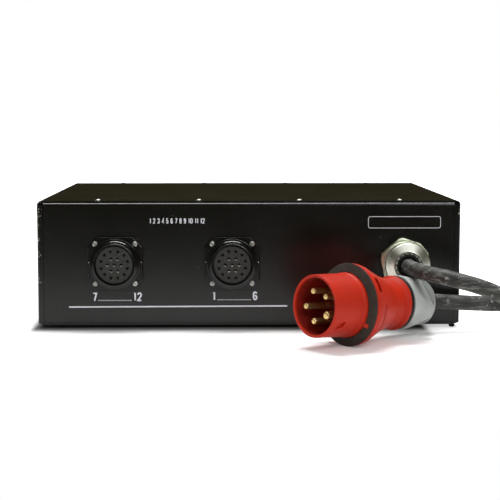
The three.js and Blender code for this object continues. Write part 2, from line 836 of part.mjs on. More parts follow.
function makeCord() {
  piece('cord_from_gland', makeCordStretch(glandToCoil), cordGrey);
  piece('cord_coil', tubeAlong(coilPath, cordDiameter / 2, coil.sides), cordGrey);
  piece('cord_to_plug', makeCordStretch(coilToPlug), cordGrey);
  const gap = leastGap(coilPath, cordDiameter, coil.stepsPerTurn / 4);
  console.log(`cord_coil: least gap to itself ${gap.toFixed(2)} mm`);
}

// Breakers: two banks of six on one rail, their noses in the control panel's window
const noseFace = caseDepth + noseReach;
const railPlane = noseFace - noseDepth;
const pivotY = noseFace - leverPivotDepth;
const railGrooveDepth = 2.6;

function makeBreakerBank(first) {
  const left = breakerLeft + first * breakerPitch;
  const ends = [left + seatGap / 2, left + bankSize * breakerPitch - seatGap / 2];
  const body = breakerBodyHeight / 2;
  const nose = noseHeight / 2;
  const groove = railHeight / 2 + slideGap;
  const shoulder = railPlane + breakerBodyDepth;
  const profile = outline([
    [railPlane, middle - body], [shoulder - breakerChamfer, middle - body],
    [shoulder, middle - body + breakerChamfer], [shoulder, middle - nose],
    [noseFace, middle - nose], [noseFace, middle + nose],
    [shoulder, middle + nose], [shoulder, middle + body - breakerChamfer],
    [shoulder - breakerChamfer, middle + body], [railPlane, middle + body],
    [railPlane, middle + groove], [railPlane + railGrooveDepth, middle + groove],
    [railPlane + railGrooveDepth, middle - groove], [railPlane, middle - groove],
  ]);
  const slots = Array.from({ length: bankSize }, (_, i) => {
    const centre = left + (i + 1 / 2) * breakerPitch;
    const half = leverWidth / 2 + seatGap;
    return block([centre - half, centre + half], [noseFace - leverSlotDepth, noseFace + overrun],
      [middle - leverSlotHeight / 2, middle + leverSlotHeight / 2]);
  });
  const grooves = Array.from({ length: bankSize - 1 }, (_, i) => {
    const x = left + (i + 1) * breakerPitch;
    return block([x - grooveWidth / 2, x + grooveWidth / 2],
      [noseFace - grooveDepth, noseFace + overrun], [middle - noseHeight, middle + noseHeight]);
  });
  return carve(extrudeX(profile, ends), ...slots, ...grooves);
}

// A breaker's toggle about its pivot, at rest in its raised position
function makeLever(centre) {
  const ends = [centre - leverWidth / 2, centre + leverWidth / 2];
  const arm = extrudeX(outline([
    [0, -leverThickness / 2], [leverReach, -leverTipThickness / 2],
    [leverReach, leverTipThickness / 2], [0, leverThickness / 2],
  ].map(([along, up]) => [
    pivotY + along * Math.cos(leverAngle) - up * Math.sin(leverAngle),
    middle + along * Math.sin(leverAngle) + up * Math.cos(leverAngle),
  ])), ends);
  return join(rodX(leverHub, ends, [pivotY, middle], pinSides), arm);
}

function makeBreakers() {
  piece('breaker_bank_left', makeBreakerBank(0), breakerWhite);
  piece('breaker_bank_right', makeBreakerBank(bankSize), breakerWhite);
  for (let i = 0; i < breakerCount; i += 1) {
    const centre = breakerLeft + (i + 1 / 2) * breakerPitch;
    piece(`breaker_lever_${String(i + 1).padStart(2, '0')}`, makeLever(centre), leverBlue);
  }
}

// The rail that carries the breakers, with its two bracket legs on the case's floor
function makeRail() {
  const ends = [breakerLeft - railOverhang, breakerRight + railOverhang];
  const lipFront = railPlane + railGrooveDepth - seatGap;
  const lipBack = lipFront - railSheet;
  const hatBack = lipFront - railDepth;
  const lip = railHeight / 2;
  const hat = railHatHeight / 2;
  const web = hat - railSheet;
  const profile = outline([
    [lipBack, middle - lip], [lipFront, middle - lip], [lipFront, middle - web],
    [hatBack + railSheet, middle - web], [hatBack + railSheet, middle + web],
    [lipFront, middle + web], [lipFront, middle + lip], [lipBack, middle + lip],
    [lipBack, middle + hat], [hatBack, middle + hat],
    [hatBack, middle - hat], [lipBack, middle - hat],
  ]);
  const legs = [ends[0] + railLegInset, ends[1] - railLegInset].flatMap((x) => {
    const across = [x - railLegWidth / 2, x + railLegWidth / 2];
    return [
      block(across, [hatBack - sheet, hatBack], [onFloor, middle + web]),
      block(across, [hatBack - railLegFoot, hatBack], [onFloor, onFloor + sheet]),
    ];
  });
  return join(extrudeX(profile, ends), ...legs);
}

function makeControlBoard() {
  const face = panelBack - seatGap - boardStandoff;
  const width = [boardLeft, boardLeft + boardWidth];
  const height = [boardBottom, boardBottom + boardHeight];
  const board = block(width, [face - boardSheet, face], height);
  const posts = width.flatMap((x, i) => height.map((z, j) => rodY(postRadius,
    [face - boardSheet / 2, panelBack - seatGap],
    [x + (i ? -postInset : postInset), z + (j ? -postInset : postInset)], bossSides)));
  return join(board, ...posts);
}

function makeControls() {
  const boardFace = panelBack - seatGap - boardStandoff;
  piece('control_board', makeControlBoard(), boardGreen);
  piece('display_window', block(
    [controlMiddle - displayWidth / 2, controlMiddle + displayWidth / 2],
    [boardFace + seatGap, caseDepth + displayReach],
    [displayMiddle - displayHeight / 2, displayMiddle + displayHeight / 2],
  ), displayDark);
  const names = ['menu', 'up', 'down', 'enter'];
  const collarFront = panelBack - seatGap;
  names.forEach((name, i) => {
    const place = [buttonXs[i], buttonMiddle];
    piece(`button_${name}`, join(
      rodY(buttonRadius, [boardFace + buttonTravel + 2 * seatGap, caseDepth + buttonReach], place, pinSides),
      rodY(buttonCollar, [collarFront - buttonCollarLength, collarFront], place, pinSides),
    ), rubber);
  });
}

// The data sockets: a square flange on the control panel with a round body through it
function makeDataSocket(x, isInlet) {
  const back = caseDepth + seatGap;
  const face = back + dataFlange;
  const place = [x, dataMiddle];
  const body = join(
    extrudeY(cutRectangle(place, dataWidth, dataHeight, dataCorner), [back, face]),
    rodY(dataBarrel, [caseDepth - dataDepth, back + dataFlange / 2], place, barSides),
  );
  if (isInlet) return carve(body, rodY(dataRecess, [face - dataRecessDepth, face + overrun], place, barSides));
  const holes = Array.from({ length: 3 }, (_, i) => {
    const angle = (i * Math.PI) / 2 - Math.PI;
    return rodY(dataSocketRadius, [face - dataSocketDepth, face + overrun],
      [x + dataSocketRing * Math.cos(angle), dataMiddle + dataSocketRing * Math.sin(angle)], bossSides);
  });
  const pocket = latchPocket(x, seatGap, [face - dataFlange - latchTravel - latchInset, face + overrun]);
  return carve(body, ...holes, pocket);
}

function latchPocket(x, gap, depths) {
  const top = dataMiddle + dataBarrel + latchInset;
  return block([x - latchWidth / 2 - gap, x + latchWidth / 2 + gap], depths,
    [top - latchHeight - gap, top + gap]);
}

function makeDataSockets() {
  const [inletX, outletX] = dataXs;
  const face = caseDepth + seatGap + dataFlange;
  piece('data_inlet', makeDataSocket(inletX, true), shellBlack);
  piece('data_outlet', makeDataSocket(outletX, false), shellBlack);
  piece('data_outlet_latch', latchPocket(outletX, 0,
    [caseDepth + 2 * seatGap + latchTravel, face + latchReach]), zinc);
}

const fanFront = panelBack - seatGap - fanDepth;

function makeFanFrame() {
  const back = panelBack - seatGap;
  const frame = carve(
    extrudeY(cutRectangle([fanX, middle], fanSize, fanSize, fanCorner), [fanFront, back]),
    rodY(fanBore, [fanFront - overrun, back + overrun], [fanX, middle], holeSides),
  );
  const reach = fanBore + fanCorner / 2;
  const motor = [fanFront, fanFront + motorDepth];
  return join(
    frame,
    rodY(hubRadius, motor, [fanX, middle], barSides),
    block([fanX - reach, fanX + reach], motor, [middle - strutWidth / 2, middle + strutWidth / 2]),
    block([fanX - strutWidth / 2, fanX + strutWidth / 2], motor, [middle - reach, middle + reach]),
    rodY(shaftRadius, [fanFront + motorDepth / 2, fanFront + motorDepth + rotorDepth * shaftShare],
      [fanX, middle], bossSides),
  );
}

function makeFanRotor() {
  const front = fanFront + motorDepth + seatGap;
  const hub = carve(rodY(hubRadius, [front, front + rotorDepth], [fanX, middle], barSides),
    rodY(shaftRadius + seatGap, [front - overrun, front + rotorDepth * rotorBoreShare],
      [fanX, middle], bossSides));
  const innerReach = hubRadius * bladeRootShare;
  const blades = Array.from({ length: bladeCount }, (_, i) => {
    const blade = new THREE.BoxGeometry(bladeTip - innerReach, bladeChord, bladeSheet);
    blade.rotateX(bladeAngle);
    blade.translate((bladeTip + innerReach) / 2, front + rotorDepth / 2, 0);
    blade.rotateY((i * 2 * Math.PI) / bladeCount);
    blade.translate(fanX, 0, middle);
    return toSolid(blade);
  });
  const sweep = rodY(bladeTip, [front, front + rotorDepth], [fanX, middle], holeSides);
  return join(hub, ...blades.map((blade) => blade.intersect(sweep)));
}

function makeFanGuard() {
  const y = caseDepth + seatGap + wireRadius;
  const rings = Array.from({ length: guardRings }, (_, i) => {
    const radius = fanBore - slideGap - (guardRings - 1 - i) * guardSpacing;
    const ring = new THREE.TorusGeometry(radius, wireRadius, wireSides, barSides);
    ring.rotateX(Math.PI / 2);
    ring.translate(fanX, y, middle);
    return toSolid(ring);
  });
  const inner = fanBore - slideGap - (guardRings - 1) * guardSpacing;
  const spokes = Array.from({ length: guardSpokes }, (_, i) => {
    const spoke = new THREE.BoxGeometry(guardEar - inner, wireRadius * 2, wireRadius * 2);
    spoke.translate((guardEar + inner) / 2, 0, 0);
    spoke.rotateY(((i + 1 / 2) * 2 * Math.PI) / guardSpokes);
    spoke.translate(fanX, y, middle);
    return toSolid(spoke);
  });
  return join(...rings, ...spokes);
}

function makeFan() {
  piece('fan_frame', makeFanFrame(), rubber);
  piece('fan_rotor', makeFanRotor(), rubber);
  piece('fan_guard', makeFanGuard(), zinc);
}

const sinkLeft = fanX - sinkInset;
const sinkFront = fanFront - sinkFanGap - sinkLength;
const sinkHeight = caseTop - sheet - sinkTopGap - onFloor;

// A comb of fins on an upright base, cooled by the fan behind it
function makeHeatsink() {
  const right = sinkLeft + sinkWidth;
  const finPitch = (sinkHeight - finThickness) / (finCount - 1);
  const points = [[sinkLeft, onFloor]];
  for (let i = 0; i < finCount; i += 1) {
    const bottom = onFloor + i * finPitch;
    const top = bottom + finThickness;
    if (i > 0) points.push([sinkLeft + sinkBase, bottom]);
    points.push([right, bottom], [right, top]);
    if (i < finCount - 1) points.push([sinkLeft + sinkBase, top]);
  }
  points.push([sinkLeft, onFloor + sinkHeight]);
  return extrudeY(outline(points), [sinkFront, sinkFront + sinkLength]);
}

// Six switching modules on a board that stands against the heatsink
function makePowerModule(front) {
  const back = sinkLeft - seatGap;
  const bottom = onFloor + moduleLift;
  const height = sinkHeight - moduleLift - moduleDrop;
  const depth = (sinkLength - moduleGap) / 2;
  const board = block([back - moduleBlock - moduleBoard, back - moduleBlock],
    [front, front + depth], [bottom, bottom + height]);
  const blocks = Array.from({ length: moduleRows * moduleColumns }, (_, i) => {
    const row = Math.floor(i / moduleColumns);
    const column = i % moduleColumns;
    const z = bottom + ((row + 1 / 2) * height) / moduleRows;
    const y = front + depth / 2 + (column - (moduleColumns - 1) / 2) * modulePitch;
    return block([back - moduleBlock - moduleBoard / 2, back],
      [y - moduleBlockWidth / 2, y + moduleBlockWidth / 2],
      [z - moduleBlockWidth / 2, z + moduleBlockWidth / 2]);
  });
  return join(board, ...blocks);
}

const chokeLeft = chokeInset - halfWidth;
const chokeBankWidth = chokeColumns * chokePitch;

// Six ring chokes on one board
function makeChokeBank(left) {
  const depth = chokeRows * chokePitch;
  const board = block([left, left + chokeBankWidth], [chokeFront, chokeFront + depth],
    [onFloor, onFloor + chokeBoard]);
  const bottom = onFloor + chokeBoard / 2;
  const top = onFloor + chokeBoard + chokeHeight;
  const rings = Array.from({ length: chokeColumns * chokeRows }, (_, i) => {
    const x = left + ((i % chokeColumns) + 1 / 2) * chokePitch;
    const y = chokeFront + (Math.floor(i / chokeColumns) + 1 / 2) * chokePitch;
    return carve(rodZ(chokeRadius, [bottom, top], [x, y], pinSides),
      rodZ(chokeCore, [onFloor + chokeBoard, top + overrun], [x, y], bossSides));
  });
  return join(board, ...rings);
}

function makeTerminalBlock() {
  const width = [glandX - blockWidth / 2, glandX + blockWidth / 2];
  const body = block(width, [blockFront, blockFront + blockDepth], [onFloor, onFloor + blockHeight]);
  const pitch = blockWidth / blockWays;
  const ways = Array.from({ length: blockWays }, (_, i) => {
    const x = width[0] + (i + 1 / 2) * pitch;
    return block([x - blockWayWidth / 2, x + blockWayWidth / 2],
      [blockFront - overrun, blockFront + blockWayDepth],
      [onFloor + blockHeight - blockWayDepth, onFloor + blockHeight + overrun]);
  });
  return carve(body, ...ways);
}

piece('base_tray', makeTray(), paint);
piece('top_cover', makeCover(), paint);
makeFeet();
sockets.forEach(({ name, x }) => {
  piece(`load_socket_${name}_shell`, makeSocketShell(x), shellBlack);
  piece(`load_socket_${name}_insert`, makeSocketInsert(x), insertGrey);
});
piece('gland_body', makeGlandBody(), nickel);
piece('gland_dome_nut', makeGlandDome(), nickel);
piece('gland_seal', makeGlandSeal(), rubber);
piece('gland_locknut', makeLocknut(), nickel);
makeCord();
makePlug();
makeBreakers();
piece('breaker_rail', makeRail(), zinc);
makeControls();
makeDataSockets();
makeFan();
piece('heatsink', makeHeatsink(), aluminium);
piece('power_module_front', makePowerModule(sinkFront), boardGreen);
piece('power_module_rear', makePowerModule(sinkFront + (sinkLength + moduleGap) / 2), boardGreen);
piece('choke_bank_left', makeChokeBank(chokeLeft), copper);
piece('choke_bank_right', makeChokeBank(chokeLeft + chokeBankWidth + chokeGap), copper);
piece('terminal_block', makeTerminalBlock(), insertGrey);

// Centre the pack, without its cord and plug, on its own footprint
const leverTip = pivotY + leverReach * Math.cos(leverAngle)
  + (leverTipThickness / 2) * Math.sin(leverAngle);
pack.position.y = -(leverTip - domeReach) / 2;

export default pack;
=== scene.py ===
"""Looks of the twelve-channel dimmer pack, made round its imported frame.

Shapes are drawn in millimetres of the pack's own drawing: +X to the right of the socket panel,
+Y from the socket panel to the control panel, +Z up, with Y 0 on the socket panel's face. The
workshop turns them into pieces in metres of the shared frame.
"""

import json
import logging
import math
from dataclasses import dataclass, field
from enum import Enum
from functools import cache, reduce
from typing import Any, Iterable, Mapping, Sequence, Union

import bmesh
import bpy
from mathutils import Matrix, Vector

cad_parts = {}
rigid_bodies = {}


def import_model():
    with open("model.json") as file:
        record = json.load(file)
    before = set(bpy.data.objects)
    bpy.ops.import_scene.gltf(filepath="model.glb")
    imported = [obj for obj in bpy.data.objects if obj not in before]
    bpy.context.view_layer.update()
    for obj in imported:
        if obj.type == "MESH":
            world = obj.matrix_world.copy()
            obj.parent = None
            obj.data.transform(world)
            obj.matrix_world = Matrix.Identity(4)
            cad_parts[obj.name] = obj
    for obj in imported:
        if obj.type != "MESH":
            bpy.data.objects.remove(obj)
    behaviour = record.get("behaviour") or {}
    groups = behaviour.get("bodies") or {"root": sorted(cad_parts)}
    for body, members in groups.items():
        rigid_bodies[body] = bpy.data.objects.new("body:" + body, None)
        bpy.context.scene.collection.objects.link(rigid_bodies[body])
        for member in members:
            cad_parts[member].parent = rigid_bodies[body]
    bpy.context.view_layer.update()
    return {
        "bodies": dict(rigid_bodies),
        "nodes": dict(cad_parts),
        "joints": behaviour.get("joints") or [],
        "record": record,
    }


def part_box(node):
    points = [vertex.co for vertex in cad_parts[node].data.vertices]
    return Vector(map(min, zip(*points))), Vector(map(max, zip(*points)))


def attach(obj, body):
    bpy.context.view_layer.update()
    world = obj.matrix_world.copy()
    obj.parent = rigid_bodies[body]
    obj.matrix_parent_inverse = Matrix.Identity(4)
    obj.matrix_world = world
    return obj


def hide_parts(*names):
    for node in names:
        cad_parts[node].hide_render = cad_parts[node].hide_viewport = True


LOG = logging.getLogger("dimmer_pack")
MM = 0.001
FULL = 2 * math.pi

Pair = tuple[float, float]
Triple = tuple[float, float, float]
Colour = Triple
Socket = bpy.types.NodeSocket
Value = Union[float, Sequence[float], Socket]
Owner = Union[bpy.types.Material, bpy.types.World]


class Axis(Enum):
    """The direction that a flat outline is drawn out along."""

    X = 0
    Y = 1
    Z = 2


class Cut(Enum):
    """How two solids are put together."""

    OUT = "DIFFERENCE"
    WITH = "UNION"
    SHARED = "INTERSECT"


@dataclass
class Shape:
    """Points and faces of closed solids, in millimetres of the drawing."""

    points: list[Vector] = field(default_factory=list)
    faces: list[tuple[int, ...]] = field(default_factory=list)

    def add(self, other: "Shape", place: Matrix = Matrix.Identity(4)) -> "Shape":
        """Append another shape to this one.

        Args:
            other: the shape to append.
            place: where it goes.

        Returns:
            This shape.
        """
        start = len(self.points)
        self.points.extend(place @ point for point in other.points)
        self.faces.extend(tuple(start + i for i in face) for face in other.faces)
        return self

    def placed(self, place: Matrix) -> "Shape":
        """Return a copy of the shape put somewhere else."""
        return Shape().add(self, place)

    def moved(self, x: float = 0, y: float = 0, z: float = 0) -> "Shape":
        """Return a copy of the shape moved along the axes."""
        return self.placed(Matrix.Translation((x, y, z)))

    def to_mesh(self, name: str) -> bpy.types.Mesh:
        """Make a mesh of the shape, with every face looking outwards.

        Args:
            name: the mesh's name.

        Returns:
            The mesh, still in the drawing's millimetres.
        """
        mesh = bpy.data.meshes.new(name)
        mesh.from_pydata([tuple(point) for point in self.points], [], self.faces)
        editable = bmesh.new()
        editable.from_mesh(mesh)
        bmesh.ops.recalc_face_normals(editable, faces=editable.faces)
        editable.to_mesh(mesh)
        editable.free()
        return mesh


def shape_of(mesh: bpy.types.Mesh) -> Shape:
    """Turn a mesh back into a shape, and let the mesh go.

    Args:
        mesh: the mesh, which is removed.

    Returns:
        Its points and faces.
    """
    shape = Shape([vertex.co.copy() for vertex in mesh.vertices],
                  [tuple(face.vertices) for face in mesh.polygons])
    bpy.data.meshes.remove(mesh)
    return shape


def joined(shapes: Iterable[Shape]) -> Shape:
    """Return several shapes as one."""
    return reduce(Shape.add, shapes, Shape())


def shown(name: str, data: bpy.types.ID) -> bpy.types.Object:
    """Put a mesh, curve, lamp or camera in the scene.

    Args:
        name: the new object's name.
        data: what it shows.

    Returns:
        The object.
    """
    thing = bpy.data.objects.new(name, data)
    bpy.context.scene.collection.objects.link(thing)
    return thing


def spun(degrees: float, axis: str = "Y") -> Matrix:
    """Return a turn about an axis."""
    return Matrix.Rotation(math.radians(degrees), 4, axis)


def arc(centre: Pair, radius: float, start: float, end: float, steps: int = 5) -> list[Pair]:
    """Return points on an arc, with its angles in degrees."""
    angles = [math.radians(start + (end - start) * i / steps) for i in range(steps + 1)]
    return [(centre[0] + radius * math.cos(a), centre[1] + radius * math.sin(a)) for a in angles]


def ring_of(sides: int, radius: float, centre: Pair = (0, 0), turn: float = 0) -> list[Pair]:
    """Return the corners of a regular polygon."""
    angles = [turn + FULL * i / sides for i in range(sides)]
    return [(centre[0] + radius * math.cos(a), centre[1] + radius * math.sin(a)) for a in angles]


def rounded(width: float, height: float, radius: float, centre: Pair = (0, 0),
            steps: int = 6) -> list[Pair]:
    """Draw a rectangle with round corners.

    Args:
        width: its first size.
        height: its second size.
        radius: of the corners.
        centre: its middle.
        steps: of each corner.

    Returns:
        The outline's points.
    """
    points = []
    for start, right, up in ((0, 1, 1), (90, -1, 1), (180, -1, -1), (270, 1, -1)):
        middle = (centre[0] + right * (width / 2 - radius), centre[1] + up * (height / 2 - radius))
        points += arc(middle, radius, start, start + 90, steps)
    return points


def folded(corners: Sequence[Pair], thickness: float, radii: Sequence[float],
           steps: int = 8) -> list[Pair]:
    """Draw the edge of a sheet that folds left at each corner of its outer face.

    Args:
        corners: the outer face's corners, first and last ends included.
        thickness: of the sheet.
        radii: of the outside of each fold.
        steps: of each fold.

    Returns:
        The outline's points.
    """
    points = [Vector(corner) for corner in corners]
    ways = [(after - before).normalized() for before, after in zip(points, points[1:])]
    left = [Vector((-way.y, way.x)) for way in ways]
    outer, inner = [points[0]], [points[0] + left[0] * thickness]
    for i, radius in enumerate(radii):
        centre = points[i + 1] - ways[i] * radius + left[i] * radius
        start = math.degrees(math.atan2(-left[i].y, -left[i].x))
        for ray in map(Vector, arc((0, 0), 1, start, start + 90, steps)):
            outer.append(centre + ray * radius)
            inner.append(centre + ray * (radius - thickness))
    outer.append(points[-1])
    inner.append(points[-1] + left[-1] * thickness)
    return [tuple(point) for point in outer + inner[::-1]]


def lofted(rings: Sequence[Sequence[Vector]], closed: bool = False) -> Shape:
    """Skin a row of rings that all have as many points.

    Args:
        rings: the rings, in order.
        closed: whether the last ring meets the first.

    Returns:
        The solid, with flat ends where it is open.
    """
    sides, count = len(rings[0]), len(rings)
    shape = Shape([point for ring in rings for point in ring])
    for i in range(count if closed else count - 1):
        a, b = i * sides, (i + 1) % count * sides
        shape.faces += [(a + j, a + (j + 1) % sides, b + (j + 1) % sides, b + j)
                        for j in range(sides)]
    if not closed:
        last = (count - 1) * sides
        shape.faces += [tuple(range(sides)), tuple(range(last, last + sides))]
    return shape


def turned(profile: Sequence[Pair], sides: int = 64) -> Shape:
    """Turn a closed profile round the Y axis.

    Args:
        profile: (radius, y) points; points on the axis close the solid there.
        sides: steps round the axis.

    Returns:
        The turned solid.
    """
    shape = Shape()
    rings: list[list[int]] = []
    for radius, y in profile:
        start = len(shape.points)
        if radius == 0:
            shape.points.append(Vector((0, y, 0)))
            rings.append([start] * sides)
            continue
        shape.points += [Vector((x, y, z)) for x, z in ring_of(sides, radius)]
        rings.append(list(range(start, start + sides)))
    for ring, after in zip(rings, rings[1:] + rings[:1]):
        for i in range(sides):
            j = (i + 1) % sides
            corners = dict.fromkeys((ring[i], ring[j], after[j], after[i]))
            if len(corners) > 2:
                shape.faces.append(tuple(corners))
    return shape


def slab(outline: Sequence[Pair], low: float, high: float, axis: Axis = Axis.Y) -> Shape:
    """Draw a flat outline out into a solid.

    Args:
        outline: (y, z) points for axis X, (x, z) for Y, and (x, y) for Z.
        low: where the solid starts on the axis.
        high: where it ends.
        axis: the direction of the solid's thickness.

    Returns:
        The solid.
    """
    first = axis.value
    return lofted([[Vector((*point[:first], along, *point[first:])) for point in outline]
                   for along in (low, high)])


def block(x: Pair, y: Pair, z: Pair) -> Shape:
    """Return a plain block between the given limits."""
    return slab([(x[0], z[0]), (x[1], z[0]), (x[1], z[1]), (x[0], z[1])], *y)


def rod(radius: float, low: float, high: float, centre: Pair = (0, 0), sides: int = 48,
        axis: Axis = Axis.Y) -> Shape:
    """Return a round rod along an axis."""
    return slab(ring_of(sides, radius, centre), low, high, axis)


def sector(radii: Pair, along: Pair, degrees: Pair, steps: int = 24,
           centre: Pair = (0, 0)) -> Shape:
    """Return part of a ring round the Y axis: its radii, its two ends and the angles it spans."""
    outside = arc(centre, radii[1], *degrees, steps)
    return slab(outside + arc(centre, radii[0], *degrees[::-1], steps), *along)


def wire(path: Sequence[Vector], radius: float, sides: int = 10, closed: bool = False) -> Shape:
    """Run a round wire along a path.

    Args:
        path: the wire's middle line.
        radius: of the wire.
        sides: of its section.
        closed: whether its ends meet.

    Returns:
        The wire, with flat ends where it is open.
    """
    rings = []
    last = len(path) - 1
    for i, point in enumerate(path):
        before = path[i - 1] if closed or i > 0 else point
        after = path[(i + 1) % len(path)] if closed or i < last else point
        along = (after - before).normalized()
        across = along.cross(Vector((0, 0, 1)))
        if across.length < 0.1:
            across = along.cross(Vector((0, 1, 0)))
        across.normalize()
        up = across.cross(along)
        rings.append([point + across * a + up * b for a, b in ring_of(sides, radius)])
    return lofted(rings, closed)


def band(points: Sequence[Pair], width: float, y: Pair, closed: bool = False) -> Shape:
    """Draw a flat band of even width along a line.

    Args:
        points: (x, z) points of its middle line.
        width: of the band.
        y: its face and its back.
        closed: whether its ends meet.

    Returns:
        The band, as a thin solid.
    """
    line = [Vector(point) for point in points]
    last = len(line) - 1
    rings = []
    for i, point in enumerate(line):
        ends = (line[i - 1] if closed or i > 0 else None,
                line[(i + 1) % len(line)] if closed or i < last else None)
        into = (point - ends[0]).normalized() if ends[0] is not None else None
        out = (ends[1] - point).normalized() if ends[1] is not None else into
        into = out if into is None else into
        side = Vector((-into.y - out.y, into.x + out.x)).normalized()
        side *= width / 2 / max(0.35, side.dot(Vector((-out.y, out.x))))
        edges = (point + side, point - side)
        rings.append([Vector((edge.x, depth, edge.y)) for depth, row in zip(y, (edges, edges[::-1]))
                      for edge in row])
    return lofted(rings, closed)


def combined(body: Shape, tool: Shape, how: Cut = Cut.OUT) -> Shape:
    """Cut one solid with another, or join them.

    Args:
        body: the solid that is kept.
        tool: the solid that cuts or joins it.
        how: the way they are combined.

    Returns:
        The combined solid.
    """
    things = [shown(name, shape.to_mesh(name)) for name, shape in (("body", body), ("tool", tool))]
    modifier = things[0].modifiers.new("cut", "BOOLEAN")
    modifier.operation = how.value
    modifier.solver = "EXACT"
    modifier.use_self = True
    modifier.object = things[1]
    bpy.context.view_layer.update()
    depsgraph = bpy.context.evaluated_depsgraph_get()
    result = shape_of(bpy.data.meshes.new_from_object(things[0].evaluated_get(depsgraph)))
    for thing in things:
        mesh = thing.data
        bpy.data.objects.remove(thing)
        bpy.data.meshes.remove(mesh)
    return result


def carved(body: Shape, *tools: Shape) -> Shape:
    """Take several solids, which don't touch each other, out of a body."""
    return combined(body, joined(tools))


def eased(shape: Shape, width: float, steps: int = 2, least: float = 30) -> Shape:
    """Round the corners of a shape.

    Args:
        shape: the solid to round.
        width: of the rounding.
        steps: across it.
        least: degrees from which an edge counts as a corner.

    Returns:
        The rounded solid.
    """
    mesh = shape.to_mesh("eased")
    editable = bmesh.new()
    editable.from_mesh(mesh)
    bmesh.ops.remove_doubles(editable, verts=editable.verts, dist=0.001)
    corners = [edge for edge in editable.edges
               if len(edge.link_faces) == 2 and edge.calc_face_angle(0) > math.radians(least)]
    bmesh.ops.bevel(editable, geom=corners, offset=width, segments=steps, profile=0.5,
                    affect="EDGES", clamp_overlap=True)
    editable.to_mesh(mesh)
    editable.free()
    return shape_of(mesh)


@dataclass(frozen=True)
class StencilDigits:
    """Narrow digits of even stroke, drawn in a box half as wide as it is high."""

    stroke: float = 0.17
    wide: float = 0.5
    narrow: float = 0.42
    gap: float = 0.4
    nudge: float = 0.012

    def bow(self, middle: float, reach: float, start: float, end: float) -> list[Pair]:
        """Return a bowl of a digit, as wide as the box, from one angle to another."""
        half = self.wide / 2
        return [(half + half * x, middle + reach * z) for x, z in arc((0, 0), 1, start, end, 14)]

    def strokes(self, digit: str) -> list[tuple[list[Pair], bool]]:
        """Return the lines of a digit.

        Args:
            digit: one character from 0 to 9.

        Returns:
            Each line's points, and whether it is closed.
        """
        bow, right = self.bow, self.wide
        return {
            "0": [(bow(0.76, 0.24, 0, 180) + bow(0.24, 0.24, 180, 360), True)],
            "1": [([(0.175, 0), (0.175, 1)], False), ([(0.05, 0.9), (0.175, 0.98)], False)],
            "2": [(bow(0.74, 0.26, 175, -30) + [(0, 0), (right, 0)], False)],
            "3": [(bow(0.76, 0.24, 170, -75), False), (bow(0.27, 0.27, 75, -170), False)],
            "4": [([(0.4, 0), (0.4, 1), (0, 0.27), (right, 0.27)], False)],
            "5": [([(0.46, 1), (0.04, 1), (0.02, 0.5)] + bow(0.3, 0.3, 130, -165), False)],
            "6": [(bow(0.76, 0.24, 15, 180) + [(0, 0.3)], False), (bow(0.28, 0.28, 0, 335), True)],
            "7": [([(0, 1), (right, 1), (0.18, 0)], False)],
            "8": [(bow(0.77, 0.23, 0, 335), True), (bow(0.27, 0.27, 0, 335), True)],
            "9": [(bow(0.24, 0.24, 195, 360) + [(right, 0.7)], False),
                  (bow(0.72, 0.28, 0, 335), True)],
        }[digit]

    def span(self, digit: str) -> float:
        """Return a digit's own width, as a share of its height."""
        return self.wide * (self.narrow if digit == "1" else 1)

    def width(self, text: str) -> float:
        """Return a number's width, as a share of its height."""
        return sum(map(self.span, text)) + self.gap * (len(text) - 1) + self.stroke

    def write(self, text: str, x: Pair, z: Pair, y: Pair, backward: bool = False) -> Shape:
        """Write a number that fills a given field.

        Args:
            text: its digits.
            x: left and right limits.
            z: lower and upper limits.
            y: the print's face and back.
            backward: whether it is read from the control panel's side.

        Returns:
            The number.
        """
        tall = z[1] - z[0]
        thick = self.stroke * tall
        across = (x[1] - x[0] - thick) / (self.width(text) - self.stroke)
        begin, way = (x[1], -1) if backward else (x[0], 1)
        made = Shape()
        start = 0.0
        for digit in text:
            for layer, (line, closed) in enumerate(self.strokes(digit)):
                points = [(begin + way * (thick / 2 + (start + u) * across),
                           z[0] + thick / 2 + v * (tall - thick)) for u, v in line]
                face = y[0] + math.copysign(layer * self.nudge, y[0] - y[1])
                made.add(band(points, thick, (face, y[1]), closed))
            start += self.span(digit) + self.gap
        return made


DIGITS = StencilDigits()


